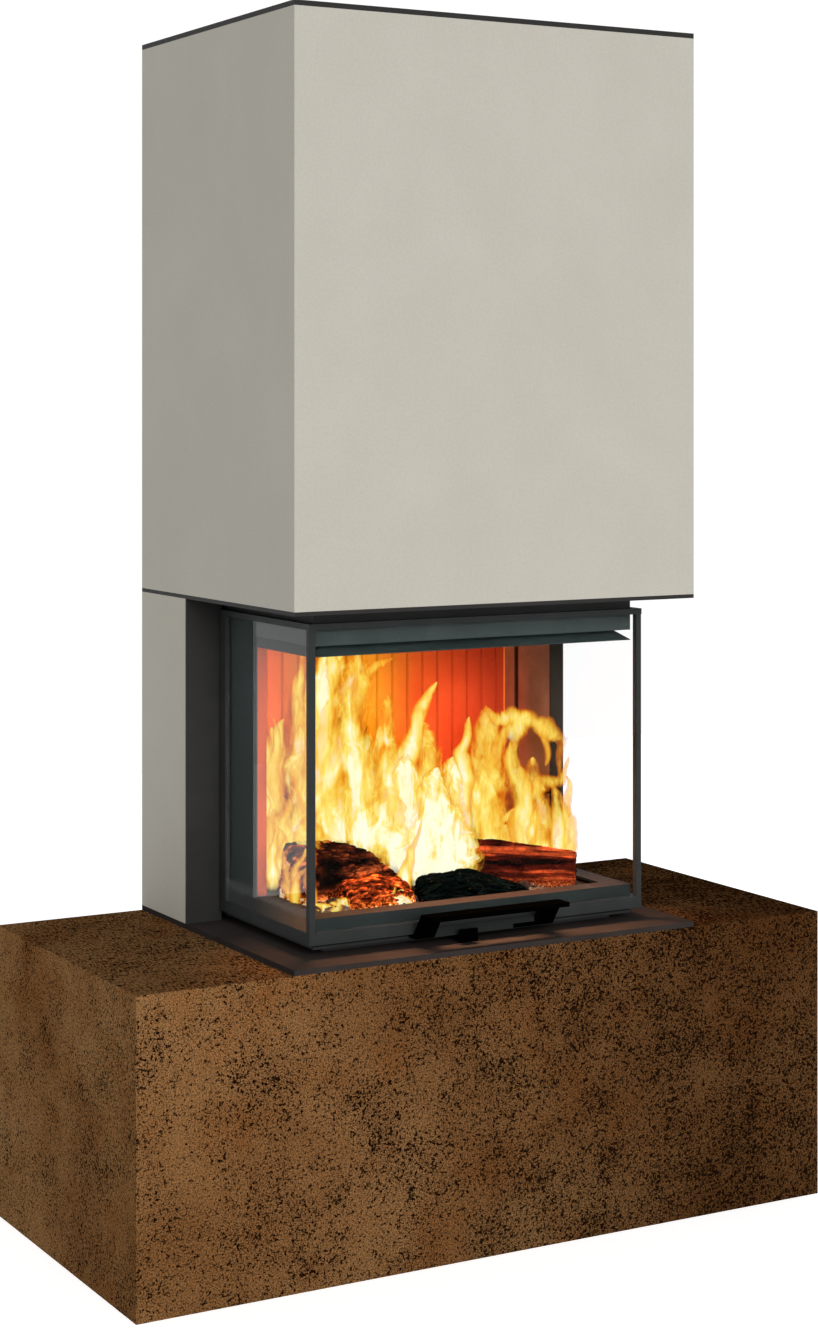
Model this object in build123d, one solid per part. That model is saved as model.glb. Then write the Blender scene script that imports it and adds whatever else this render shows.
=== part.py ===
from build123d import *
import math
import os

# A three-sided lift-door fireplace: firebox insert, stone-clad hood and column, stone-faced bench.
# Millimetres, +Z up, front towards -Y. The origin is on the floor, in the middle of the bench.

# Casing: outside sizes of the hood and of the column under its rear half
casing_width = 700
casing_depth = 545
hood_height = 869.5
opening_height = 506.5
column_depth = 172
panel_thickness = 30
trim_thickness = 6
trim_door_gap = 6
top_plate_thickness = 8
cover_sheet = 3
jamb_width = 61
jamb_sheet = 3
jamb_lip = 4
jamb_flange = 36

# Convection slots in the top plate
slot_length = 62
slot_width = 12
slot_columns = 7
slot_rows = 3
slot_pitch_x = 84
slot_pitch_y = 60

# Bench
bench_height = 455
bench_overhang = 245
bench_slab = 20
back_board = 12
hearth_plate_thickness = 8
well_clearance = 2
duct_cutout = 150

# Welded tube frames and their levelling feet
frame_tube = 30
frame_gap = 6
tube_wall = 2
post_depth = 18
foot_height = 25
foot_radius = 20
foot_disc = 6
foot_plug = 8
stud_radius = 5
stud_reach = 20
stud_clearance = 0.2

# Lift door: a frame of slim bars round three panes
door_side_inset = 56
door_front_inset = 62
door_bottom_gap = 17
door_top_gap = 18.5
door_rear_gap = 6
door_running_gap = 3
rail_width = 10
bottom_rail_height = 18
top_rail_height = 9
corner_bar = 10
corner_radius = 2
stile_width = 18
glass_thickness = 5
glass_inset = 2
groove_depth = 5
glass_clearance = 0.3
seal_clearance = 0.3
seal_height = 7

# Handle: one sheet folded twice, with a window that leaves a grip bar on two legs
handle_length = 243
handle_sheet = 6
handle_grip_depth = 32
handle_grip_inset = 2
handle_grip_rise = 34.5
handle_leg_width = 33
handle_fold_gap = 4
handle_edge = 2

# Firebox: steel parts and linings
floor_gap = 8
floor_plate = 4
brick_thickness = 30
brick_joint = 1
sill_height = 41
sill_sheet = 4
sill_flange = 35
chamber_depth = 344
side_lining_depth = 147
side_lining_thickness = 20
side_joint_from_back = 41
side_joint = 8
back_lining_thickness = 30
back_panels = 3
ribs_per_panel = 6
flute_width = 5
flute_depth = 4
shell_sheet = 3
shell_flange = 15
upper_band = 25
upper_flange = 40
deflector_height = 15
deflector_reach = 21
deflector_sheet = 2
baffle_thickness = 25
baffle_front_reach = 82
baffle_front_inset = 45
smoke_box_height = 160
smoke_box_sheet = 4
dome_height = 150
dome_top_width = 210
ledge_height = 60
ledge_width = 15
upper_baffle_depth = 290
upper_baffle_thickness = 20

# Flue and outside air
flue_radius = 90
flue_wall = 3
flue_bend_radius = 150
flue_from_back = 215
flue_rise = 30
cover_cutout = 220
duct_radius = 62.5
duct_wall = 2
duct_height = 290

# Air box under the firebox, ash pan and grate
air_box_side_inset = 26
air_box_front_inset = 20
air_box_rear_inset = 27
air_box_bottom = 210
air_box_wall = 4
deck_drop = 67
deck_thickness = 4
grate_width = 226
grate_depth = 156
grate_height = 26
grate_rim = 14
grate_bars = 9
grate_bar_width = 9
grate_seat = 8
grate_clearance = 1
pan_height = 55
pan_wall = 2
pan_clearance = 5

# Air lever and shutter
lever_rest = -39
lever_reach = 60
lever_tab_width = 31
lever_tab_height = 19
lever_tab_inset = 34
lever_sheet = 4
lever_strip_width = 20
lever_gap = 3
lever_inside = 16
port_spacing = 170
port_radius = 22
port_border = 8
shutter_thickness = 4
slide_clearance = 0.3
lever_slot_clearance = 0.8

# Lift mechanism in the pocket beside the firebox
carriage_plate = 3
carriage_gap = 2
rod_radius = 7
rod_clearance = 0.05
rod_from_panel = 18
rod_from_jamb = 19
bush_size = 26
bush_height = 50
bush_inset = 30
cable_radius = 2
cable_from_rod = 23
pulley_radius = 35
pulley_width = 10
pulley_flange = 5
pulley_lip = 1
pulley_hole_radius = 7
pulley_hole_circle = 21
pulley_holes = 5
pulley_drop = 95
groove_clearance = 0.3
axle_radius = 6
axle_clearance = 0.05
axle_head_radius = 10
axle_head = 3
axle_play = 0.5
hanger_sheet = 5
hanger_width = 30
weight_width = 26
weight_depth = 66
weight_height = 490
weight_drop = 70
weight_edge = 3

# Firewood: gap to the sill frame, the angle between two cleft faces, and each log's size and setback.
# A log's share is its place across the chamber, from -1 at the left lining to 1 at the right one.
log_gap = 4
log_opening = 84
right_log_length = 250
right_log_radius = 73
right_log_share = 0.472
right_log_setback = 4
front_log_length = 190
front_log_radius = 58
front_log_share = 0.135
left_log_length = 195
left_log_radius = 92
left_log_share = -0.52
left_log_setback = 82
ember_log_length = 122
ember_log_radius = 57
ember_log_share = -0.515

# Planes and levels that the pieces share
half = casing_width / 2
front = -casing_depth / 2
back = casing_depth / 2
bench_half = half + bench_overhang
hearth_top = bench_height + hearth_plate_thickness
trim_bottom = hearth_top + opening_height
trim_top = trim_bottom + trim_thickness
panel_top = trim_top + hood_height
panel_inner = half - panel_thickness
jamb_front = back - column_depth
jamb_back = jamb_front + jamb_sheet

door_half = half - door_side_inset
door_front = front + door_front_inset
door_rear = jamb_front - door_rear_gap
door_bottom = hearth_top + door_bottom_gap
door_top = trim_bottom - door_top_gap
stile_front = door_rear - stile_width

fire_half = door_half - rail_width - door_running_gap
fire_front = door_front + rail_width + door_running_gap
lining_front = fire_front + chamber_depth
shell_front = lining_front + back_lining_thickness
shell_back = shell_front + shell_sheet
post_front = lining_front - side_lining_depth
lining_outer = fire_half - shell_sheet
lining_inner = lining_outer - side_lining_thickness
plate_bottom = hearth_top + floor_gap
plate_top = plate_bottom + floor_plate
floor_top = plate_top + brick_thickness
sill_top = plate_top + sill_height
band_top = door_top - top_rail_height
band_bottom = band_top - upper_band

air_half = fire_half - air_box_side_inset
air_front = fire_front + air_box_front_inset
air_rear = shell_back - air_box_rear_inset
deck_top = plate_bottom - deck_drop
grate_y = (lining_front + fire_front) / 2
smoke_top = band_top + smoke_box_height
dome_top = smoke_top + dome_height
flue_y = back - flue_from_back
flue_z = dome_top + flue_rise + flue_bend_radius

lever_bottom = hearth_top + lever_gap
lever_drop_y = air_front + air_box_wall + lever_inside
port_y = lever_drop_y + lever_sheet + port_border + port_radius
log_front = fire_front + sill_flange + log_gap

frame_top = bench_height - bench_slab
arm_bottom = panel_top - frame_tube
rod_x = panel_inner - rod_from_panel
rod_y = jamb_back + rod_from_jamb
plate_x = half - jamb_width - carriage_gap
cable_y = rod_y + cable_from_rod
pulley_y = cable_y + pulley_radius
pulley_z = arm_bottom - pulley_drop
weight_y = pulley_y + pulley_radius
weight_top = pulley_z - weight_drop


def block(x0, x1, y0, y1, z0, z1):
    return Pos((x0 + x1) / 2, (y0 + y1) / 2, (z0 + z1) / 2) * Box(x1 - x0, y1 - y0, z1 - z0)


def outline(points):
    return make_face(Polyline(*points, close=True))


def prism_x(points, x0, x1):
    # points are (y, z)
    return Pos(x0, 0, 0) * extrude(Plane.YZ * outline(points), amount=x1 - x0, dir=(1, 0, 0))


def prism_y(points, y0, y1):
    # points are (x, z)
    return Pos(0, y0, 0) * extrude(Plane.XZ * outline(points), amount=y1 - y0, dir=(0, 1, 0))


def prism_z(points, z0, z1):
    # points are (x, y)
    return Pos(0, 0, z0) * extrude(outline(points), amount=z1 - z0, dir=(0, 0, 1))


def cylinder_z(x, y, z0, z1, radius):
    return Pos(x, y, (z0 + z1) / 2) * Cylinder(radius, z1 - z0)


def cylinder_x(y, z, x0, x1, radius):
    return Pos((x0 + x1) / 2, y, z) * Rot(0, 90, 0) * Cylinder(radius, x1 - x0)


def cylinder_y(x, z, y0, y1, radius):
    return Pos(x, (y0 + y1) / 2, z) * Rot(90, 0, 0) * Cylinder(radius, y1 - y0)


def mirrored(shape):
    return mirror(shape, about=Plane.YZ)


def pair(shape):
    return [shape, mirrored(shape)]


def save(name, *shapes):
    solids = []
    for shape in shapes:
        solids.extend(shape.solids())
    whole = solids[0] if len(solids) == 1 else Compound(children=solids)
    export_step(whole, "parts/" + name + ".step")


def mitred_bars(section, outer, front_face, rear):
    # three bars round the front and the sides; section points are (inward, z)
    low = min(z for inward, z in section)
    high = max(z for inward, z in section)
    front_wedge = prism_z([(-outer, front_face), (outer, front_face), (0, front_face + outer)], low, high)
    side_points = [(outer, front_face), (outer, rear), (0, rear), (0, front_face + outer)]
    front_bar = prism_x([(front_face + inward, z) for inward, z in section], -outer, outer)
    side_bar = prism_y([(outer - inward, z) for inward, z in section], front_face, rear)
    return [front_bar & front_wedge] + pair(side_bar & prism_z(side_points, low, high))


def tube_x(x0, x1, y, z, width, height):
    outer = block(x0, x1, y - width / 2, y + width / 2, z - height / 2, z + height / 2)
    bore_width = width / 2 - tube_wall
    bore_height = height / 2 - tube_wall
    return outer - block(x0, x1, y - bore_width, y + bore_width, z - bore_height, z + bore_height)


def tube_y(y0, y1, x, z, width, height):
    outer = block(x - width / 2, x + width / 2, y0, y1, z - height / 2, z + height / 2)
    bore_width = width / 2 - tube_wall
    bore_height = height / 2 - tube_wall
    return outer - block(x - bore_width, x + bore_width, y0, y1, z - bore_height, z + bore_height)


def tube_z(z0, z1, x, y, width, depth):
    outer = block(x - width / 2, x + width / 2, y - depth / 2, y + depth / 2, z0, z1)
    bore_width = width / 2 - tube_wall
    bore_depth = depth / 2 - tube_wall
    return outer - block(x - bore_width, x + bore_width, y - bore_depth, y + bore_depth, z0, z1)


def footed_post(x, y, top):
    side = frame_tube / 2 - tube_wall
    plug_top = foot_height + foot_plug
    plug = block(x - side, x + side, y - side, y + side, foot_height, plug_top)
    stud_hole = cylinder_z(x, y, foot_height, plug_top, stud_radius + stud_clearance)
    return tube_z(foot_height, top, x, y, frame_tube, frame_tube) + (plug - stud_hole)


def levelling_foot(x, y):
    half_profile = [
        (0, 0),
        (foot_radius, 0),
        (foot_radius, foot_disc),
        (stud_radius * 2, foot_height),
        (stud_radius, foot_height),
        (stud_radius, foot_height + stud_reach),
        (0, foot_height + stud_reach),
    ]
    return Pos(x, y, 0) * revolve(Plane.XZ * outline(half_profile), axis=Axis.Z)


# Places of the posts that stand on levelling feet
bench_post_x = [half, bench_half - bench_slab - frame_gap - frame_tube / 2]
bench_post_front = front + bench_slab + frame_gap + frame_tube / 2
bench_post_y = [bench_post_front, back - back_board - frame_gap - frame_tube / 2]
stand_x = air_half - frame_tube / 2
stand_y = [air_front + frame_tube / 2, air_rear - frame_tube / 2]


def bench_top_slab():
    # the slabs of the bench meet in mitres, so each is the common part of two prisms
    edge = bench_half - bench_slab
    inner_y = front + bench_slab
    top = bench_height
    side_view = [(front, top), (back, top), (back, frame_top), (inner_y, frame_top)]
    front_view = [(-bench_half, top), (bench_half, top), (edge, frame_top), (-edge, frame_top)]
    slab = prism_x(side_view, -bench_half, bench_half) & prism_y(front_view, front, back)
    return slab - insert_well(frame_top, bench_height)


def insert_well(z0, z1):
    side = air_half + well_clearance
    return block(-side, side, air_front - well_clearance, air_rear + well_clearance, z0, z1)


def bench_front_slab():
    edge = bench_half - bench_slab
    inner_y = front + bench_slab
    plan = [(-bench_half, front), (bench_half, front), (edge, inner_y), (-edge, inner_y)]
    side_view = [(front, 0), (front, bench_height), (inner_y, frame_top), (inner_y, 0)]
    return prism_z(plan, 0, bench_height) & prism_x(side_view, -bench_half, bench_half)


def bench_right_slab():
    edge = bench_half - bench_slab
    plan = [(bench_half, front), (bench_half, back), (edge, back), (edge, front + bench_slab)]
    front_view = [(bench_half, 0), (bench_half, bench_height), (edge, frame_top), (edge, 0)]
    return prism_z(plan, 0, bench_height) & prism_y(front_view, front, back)


def bench_back_board():
    edge = bench_half - bench_slab
    board = block(-edge, edge, back - back_board, back, 0, frame_top)
    side = duct_cutout / 2
    return board - block(-side, side, back - back_board, back, duct_height - side, duct_height + side)


def bench_frame():
    rail_end = bench_post_x[1] + frame_tube / 2
    rail_z = frame_top - frame_tube / 2
    frame = Part()
    for y in bench_post_y:
        frame += tube_x(-rail_end, rail_end, y, rail_z, frame_tube, frame_tube)
    cross_from = bench_post_y[0] + frame_tube / 2
    cross_to = bench_post_y[1] - frame_tube / 2
    for x in bench_post_x:
        cross = tube_y(cross_from, cross_to, x, rail_z, frame_tube, frame_tube)
        frame += cross
        frame += mirrored(cross)
        for y in bench_post_y:
            post = footed_post(x, y, frame_top - frame_tube)
            frame += post
            frame += mirrored(post)
    return frame


def levelling_feet():
    feet = []
    for y in bench_post_y:
        for x in bench_post_x:
            feet += pair(levelling_foot(x, y))
    for y in stand_y:
        feet += pair(levelling_foot(stand_x, y))
    return feet


def hearth_plate():
    plate = block(-half, half, front, back, bench_height, hearth_top)
    return plate - insert_well(bench_height, hearth_top)


def column_right_panel():
    return block(panel_inner, half, jamb_back, back, hearth_top, trim_bottom)


def right_jamb():
    inner = half - jamb_width
    points = [
        (half, jamb_front),
        (half, jamb_back),
        (panel_inner, jamb_back),
        (panel_inner, jamb_back + jamb_flange),
        (panel_inner - jamb_sheet, jamb_back + jamb_flange),
        (panel_inner - jamb_sheet, jamb_back),
        (inner + jamb_sheet, jamb_back),
        (inner + jamb_sheet, jamb_back + jamb_lip),
        (inner, jamb_back + jamb_lip),
        (inner, jamb_front),
    ]
    return prism_z(points, hearth_top, trim_bottom)


def hood_trim():
    door_side = door_half + trim_door_gap
    door_edge = door_front - trim_door_gap
    plate = block(-half, half, front, back, trim_bottom, trim_top)
    plate -= block(-door_side, door_side, door_edge, back, trim_bottom, trim_top)
    return plate - block(-panel_inner, panel_inner, jamb_back, back, trim_bottom, trim_top)


def hood_front_panel():
    inner_y = front + panel_thickness
    points = [(-half, front), (half, front), (panel_inner, inner_y), (-panel_inner, inner_y)]
    return prism_z(points, trim_top, panel_top)


def hood_right_panel():
    inner_y = front + panel_thickness
    points = [(half, front), (half, back), (panel_inner, back), (panel_inner, inner_y)]
    return prism_z(points, trim_top, panel_top)


def hood_top_plate():
    plate = block(-half, half, front, back, panel_top, panel_top + top_plate_thickness)
    slot = extrude(SlotOverall(slot_length, slot_width), amount=top_plate_thickness)
    for place in GridLocations(slot_pitch_x, slot_pitch_y, slot_columns, slot_rows):
        plate -= Pos(0, 0, panel_top) * place * slot
    return plate


def rear_cover():
    cover = block(-panel_inner, panel_inner, back - cover_sheet, back, hearth_top, panel_top)
    side = cover_cutout / 2
    return cover - block(-side, side, back - cover_sheet, back, flue_z - side, flue_z + side)


def hood_frame():
    post_y = back - cover_sheet - post_depth / 2
    side_x = panel_inner - frame_tube / 2
    beam_z = panel_top - frame_tube / 2
    inner_y = front + panel_thickness
    beam_side = panel_inner - frame_tube
    rear_y = back - cover_sheet - frame_tube / 2
    side = tube_z(hearth_top, arm_bottom, side_x, post_y, frame_tube, post_depth)
    side += tube_y(inner_y, back - cover_sheet, side_x, beam_z, frame_tube, frame_tube)
    side += pulley_hanger()
    frame = side + mirrored(side)
    for y in (inner_y + frame_tube / 2, rear_y):
        frame += tube_x(-beam_side, beam_side, y, beam_z, frame_tube, frame_tube)
    return frame


def pulley_hanger():
    plate_outer = rod_x - pulley_width / 2 - axle_play
    plate_inner = plate_outer - hanger_sheet
    head_from = rod_x + pulley_width / 2 + axle_play
    side = hanger_width / 2
    plate = block(plate_inner, plate_outer, pulley_y - side, pulley_y + side, pulley_z - side, arm_bottom)
    axle = cylinder_x(pulley_y, pulley_z, plate_inner, head_from, axle_radius)
    head = cylinder_x(pulley_y, pulley_z, head_from, head_from + axle_head, axle_head_radius)
    return plate + axle + head


def insert_stand():
    ring_z = air_box_bottom - frame_tube / 2
    stand = Part()
    side_from = stand_y[0] + frame_tube / 2
    side_to = stand_y[1] - frame_tube / 2
    side = tube_y(side_from, side_to, stand_x, ring_z, frame_tube, frame_tube)
    stand += side
    stand += mirrored(side)
    for y in stand_y:
        stand += tube_x(-air_half, air_half, y, ring_z, frame_tube, frame_tube)
        post = footed_post(stand_x, y, air_box_bottom - frame_tube)
        stand += post
        stand += mirrored(post)
    return stand


def air_box():
    wall = air_box_wall
    box = block(-air_half, air_half, air_front, air_rear, air_box_bottom, plate_bottom)
    inside = air_half - wall
    box -= block(-inside, inside, air_front + wall, air_rear - wall, air_box_bottom + wall, plate_bottom)
    deck = block(-inside, inside, air_front + wall, air_rear - wall, deck_top - deck_thickness, deck_top)
    for x in (-port_spacing / 2, port_spacing / 2):
        deck -= cylinder_z(x, port_y, deck_top - deck_thickness, deck_top, port_radius)
    plate = block(-fire_half, fire_half, fire_front, shell_back, plate_bottom, plate_top)
    throat_x = grate_width / 2 - grate_seat
    throat_y = grate_depth / 2 - grate_seat
    plate -= block(-throat_x, throat_x, grate_y - throat_y, grate_y + throat_y, plate_bottom, plate_top)
    box += deck
    box += plate
    slot_side = lever_reach + lever_strip_width / 2 + lever_slot_clearance
    slot_from = lever_bottom - lever_slot_clearance
    slot_to = lever_bottom + lever_sheet + lever_slot_clearance
    box -= block(-slot_side, slot_side, air_front, air_front + wall, slot_from, slot_to)
    return box - cylinder_y(0, duct_height, air_rear - wall, air_rear, duct_radius - duct_wall)


def air_duct():
    outer = cylinder_y(0, duct_height, air_rear, back, duct_radius)
    return outer - cylinder_y(0, duct_height, air_rear, back, duct_radius - duct_wall)


def sill_frame():
    section = [
        (0, plate_top),
        (0, sill_top),
        (sill_flange, sill_top),
        (sill_flange, sill_top - sill_sheet),
        (sill_sheet, sill_top - sill_sheet),
        (sill_sheet, plate_top),
    ]
    return mitred_bars(section, fire_half, fire_front, post_front)


def floor_bricks():
    side = lining_inner - brick_joint
    from_y = fire_front + sill_sheet + brick_joint
    grate_x = grate_width / 2 + grate_clearance
    grate_from = grate_y - grate_depth / 2 - grate_clearance
    grate_to = grate_y + grate_depth / 2 + grate_clearance
    to_y = lining_front - brick_joint
    seam = brick_joint / 2
    bricks = [
        block(-side, -seam, from_y, grate_from, plate_top, floor_top),
        block(seam, side, from_y, grate_from, plate_top, floor_top),
        block(-side, -seam, grate_to, to_y, plate_top, floor_top),
        block(seam, side, grate_to, to_y, plate_top, floor_top),
    ]
    middle = block(grate_x, side, grate_from + brick_joint, grate_to - brick_joint, plate_top, floor_top)
    return bricks + pair(middle)


def grate():
    top = plate_top + grate_height
    half_x = grate_width / 2
    half_y = grate_depth / 2
    inner_x = half_x - grate_rim
    inner_y = half_y - grate_rim
    rim = block(-half_x, half_x, grate_y - half_y, grate_y + half_y, plate_top, top)
    rim -= block(-inner_x, inner_x, grate_y - inner_y, grate_y + inner_y, plate_top, top)
    pitch = 2 * inner_x / (grate_bars + 1)
    for number in range(1, grate_bars + 1):
        x = number * pitch - inner_x
        wide = grate_bar_width / 2
        narrow = wide / 2
        points = [(x - wide, top), (x + wide, top), (x + narrow, plate_top), (x - narrow, plate_top)]
        rim += prism_y(points, grate_y - inner_y, grate_y + inner_y)
    return rim


def ash_pan():
    half_x = grate_width / 2 - grate_seat - pan_clearance
    half_y = grate_depth / 2 - grate_seat - pan_clearance
    pan = block(-half_x, half_x, grate_y - half_y, grate_y + half_y, deck_top, deck_top + pan_height)
    inner_x = half_x - pan_wall
    inner_y = half_y - pan_wall
    floor = deck_top + pan_wall
    return pan - block(-inner_x, inner_x, grate_y - inner_y, grate_y + inner_y, floor, deck_top + pan_height)


def firebox_shell():
    lip = fire_half - shell_sheet
    points = [
        (-fire_half, shell_front),
        (fire_half, shell_front),
        (fire_half, shell_back + shell_flange),
        (lip, shell_back + shell_flange),
        (lip, shell_back),
        (-lip, shell_back),
        (-lip, shell_back + shell_flange),
        (-fire_half, shell_back + shell_flange),
    ]
    return prism_z(points, plate_top, band_top)


def right_post():
    points = [
        (fire_half, post_front),
        (fire_half, shell_front),
        (lining_outer, shell_front),
        (lining_outer, post_front + shell_sheet),
        (lining_inner, post_front + shell_sheet),
        (lining_inner, post_front),
    ]
    return prism_z(points, plate_top, band_top)


def right_linings():
    joint_y = lining_front - side_joint_from_back
    seam = side_joint / 2
    from_y = post_front + shell_sheet
    front_slab = block(lining_inner, lining_outer, from_y, joint_y - seam, plate_top, band_bottom)
    rear_slab = block(lining_inner, lining_outer, joint_y + seam, shell_front, plate_top, band_bottom)
    return [front_slab, rear_slab]


def back_lining():
    width = 2 * lining_inner / back_panels
    pitch = width / ribs_per_panel
    panels = []
    for number in range(back_panels):
        left = number * width - lining_inner
        panel = block(left, left + width, lining_front, shell_front, plate_top, band_bottom)
        for rib in range(ribs_per_panel):
            flute_x = left + (rib + 0.5) * pitch
            side = flute_width / 2
            floor_y = lining_front + flute_depth
            flute = [(flute_x - side, lining_front), (flute_x + side, lining_front), (flute_x, floor_y)]
            panel -= prism_z(flute, plate_top, band_bottom)
        panels.append(panel)
    return panels


def upper_frame():
    section = [
        (0, band_bottom),
        (0, band_top),
        (upper_flange, band_top),
        (upper_flange, band_top - shell_sheet),
        (shell_sheet, band_top - shell_sheet),
        (shell_sheet, band_bottom),
    ]
    return mitred_bars(section, fire_half, fire_front, post_front)


def air_deflector():
    lower = band_bottom - deflector_height
    seat = band_top - shell_sheet
    slope = deflector_sheet * math.hypot(deflector_height, deflector_reach) / deflector_reach
    section = [
        (0, lower),
        (deflector_reach, band_bottom),
        (deflector_reach, seat),
        (deflector_reach + deflector_sheet, seat),
        (deflector_reach + deflector_sheet, band_bottom - slope),
        (deflector_sheet, lower - slope / 2),
        (0, lower - slope / 2),
    ]
    return mitred_bars(section, fire_half, fire_front, post_front)


def lower_baffle():
    wide = lining_outer
    narrow = lining_inner - baffle_front_inset
    step = post_front + shell_sheet
    points = [
        (-wide, shell_front),
        (-wide, step),
        (-narrow, step),
        (-narrow, post_front - baffle_front_reach),
        (narrow, post_front - baffle_front_reach),
        (narrow, step),
        (wide, step),
        (wide, shell_front),
    ]
    return prism_z(points, band_bottom, band_bottom + baffle_thickness)


def frustum(side, from_y, to_y, z0, top_half, z1):
    side_view = [(from_y, z0), (to_y, z0), (flue_y + top_half, z1), (flue_y - top_half, z1)]
    front_view = [(-side, z0), (side, z0), (top_half, z1), (-top_half, z1)]
    return prism_x(side_view, -side, side) & prism_y(front_view, from_y, to_y)


def smoke_box():
    sheet = smoke_box_sheet
    box = block(-fire_half, fire_half, fire_front, shell_back, band_top, smoke_top)
    box += frustum(fire_half, fire_front, shell_back, smoke_top, dome_top_width / 2, dome_top)
    inner = fire_half - sheet
    from_y = fire_front + sheet
    to_y = shell_back - sheet
    box -= block(-inner, inner, from_y, to_y, band_top, smoke_top)
    box -= frustum(inner, from_y, to_y, smoke_top, dome_top_width / 2 - sheet, dome_top - sheet)
    box -= cylinder_z(0, flue_y, dome_top - sheet, dome_top, flue_radius - flue_wall)
    ledge_top = band_top + ledge_height
    ledge = block(inner - ledge_width, inner, from_y, to_y, ledge_top - sheet, ledge_top)
    return box + ledge + mirrored(ledge)


def upper_baffle():
    side = fire_half - smoke_box_sheet - brick_joint
    from_y = fire_front + smoke_box_sheet + brick_joint
    z0 = band_top + ledge_height
    return block(-side, side, from_y, from_y + upper_baffle_depth, z0, z0 + upper_baffle_thickness)


def bent_pipe(radius):
    bend_z = dome_top + flue_rise
    bend_y = flue_y + flue_bend_radius
    turn = Axis((0, bend_y, bend_z), (-1, 0, 0))
    rise = cylinder_z(0, flue_y, dome_top, bend_z, radius)
    bend = revolve(Pos(0, flue_y, bend_z) * Circle(radius), axis=turn, revolution_arc=90)
    return rise + bend + cylinder_y(0, flue_z, bend_y, back, radius)


def flue_elbow():
    return bent_pipe(flue_radius) - bent_pipe(flue_radius - flue_wall)


def air_lever():
    x0 = lever_rest - lever_strip_width / 2
    x1 = lever_rest + lever_strip_width / 2
    tab_y = front + lever_tab_inset
    top = lever_bottom + lever_sheet
    seat = deck_top + slide_clearance + shutter_thickness
    foot_y = lever_drop_y + lever_sheet + port_border
    strip = [
        (tab_y, lever_bottom),
        (tab_y, top),
        (lever_drop_y + lever_sheet, top),
        (lever_drop_y + lever_sheet, seat + lever_sheet),
        (foot_y, seat + lever_sheet),
        (foot_y, seat),
        (lever_drop_y, seat),
        (lever_drop_y, lever_bottom),
    ]
    half_tab = lever_tab_width / 2
    tab = block(
        lever_rest - half_tab, lever_rest + half_tab,
        tab_y, tab_y + lever_sheet,
        lever_bottom, lever_bottom + lever_tab_height,
    )
    return prism_x(strip, x0, x1) + tab


def air_shutter():
    # the ports line up with the deck's when the lever stands at its left end
    middle = lever_rest + lever_reach
    border = port_radius + port_border
    left = middle - port_spacing / 2 - 2 * lever_reach - border
    right = middle + port_spacing / 2 + border
    z0 = deck_top + slide_clearance
    z1 = z0 + shutter_thickness
    plate = block(left, right, lever_drop_y, port_y + border, z0, z1)
    for x in (middle - port_spacing / 2, middle + port_spacing / 2):
        plate -= cylinder_z(x, port_y, z0, z1, port_radius)
    return plate


def glass_groove(z0, z1):
    inward = glass_inset - glass_clearance
    outward = glass_inset + glass_thickness + glass_clearance
    return [(inward, z0), (outward, z0), (outward, z1), (inward, z1)]


def door_rail(z0, z1, groove_z0, groove_z1):
    section = [(0, z0), (rail_width, z0), (rail_width, z1), (0, z1)]
    bars = mitred_bars(section, door_half, door_front, stile_front)
    grooves = mitred_bars(glass_groove(groove_z0, groove_z1), door_half, door_front, stile_front)
    return [bar - groove for bar, groove in zip(bars, grooves)]


def door_bottom_rail():
    top = door_bottom + bottom_rail_height
    return door_rail(door_bottom, top, top - groove_depth, top)


def door_top_rail():
    return door_rail(band_top, door_top, band_top, band_top + groove_depth)


def door_corner_bar():
    inner = door_half - corner_bar
    bar = block(
        inner, door_half, door_front, door_front + corner_bar, door_bottom + bottom_rail_height, band_top
    )
    edge = bar.edges().filter_by(Axis.Z).sort_by(lambda e: e.center().X - e.center().Y)[-1]
    return fillet(edge, corner_radius)


def pane_levels():
    low = door_bottom + bottom_rail_height - groove_depth + glass_clearance
    return low, band_top + groove_depth - glass_clearance


def front_glass():
    low, high = pane_levels()
    side = door_half - corner_bar - glass_clearance
    y0 = door_front + glass_inset
    return block(-side, side, y0, y0 + glass_thickness, low, high)


def right_glass():
    low, high = pane_levels()
    x1 = door_half - glass_inset
    y0 = door_front + corner_bar + glass_clearance
    return block(x1 - glass_thickness, x1, y0, stile_front - glass_clearance, low, high)


def right_stile():
    bar = block(door_half - rail_width, door_half, stile_front, door_rear, door_bottom, door_top)
    plate_to = cable_y + bush_size / 2
    plate = block(plate_x - carriage_plate, plate_x, door_rear, plate_to, door_bottom, door_top)
    return bar + plate


def right_bushes():
    x0 = plate_x
    x1 = rod_x + bush_size / 2
    y0 = rod_y - bush_size / 2
    low = door_bottom + bush_inset
    high = door_top - bush_inset
    bore = cylinder_z(rod_x, rod_y, low, high, rod_radius + rod_clearance)
    lower = block(x0, x1, y0, rod_y + bush_size / 2, low, low + bush_height)
    upper = block(x0, x1, y0, cable_y + bush_size / 2, high - bush_height, high)
    return [lower - bore, upper - bore]


def door_seals():
    depth = door_running_gap - seal_clearance
    inner = door_half - rail_width
    inner_front = door_front + rail_width
    seals = []
    for middle in (door_bottom + bottom_rail_height / 2, band_top + top_rail_height / 2):
        z0 = middle - seal_height / 2
        z1 = middle + seal_height / 2
        section = [(0, z0), (depth, z0), (depth, z1), (0, z1)]
        seals += mitred_bars(section, inner, inner_front, stile_front)
    return seals


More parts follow.
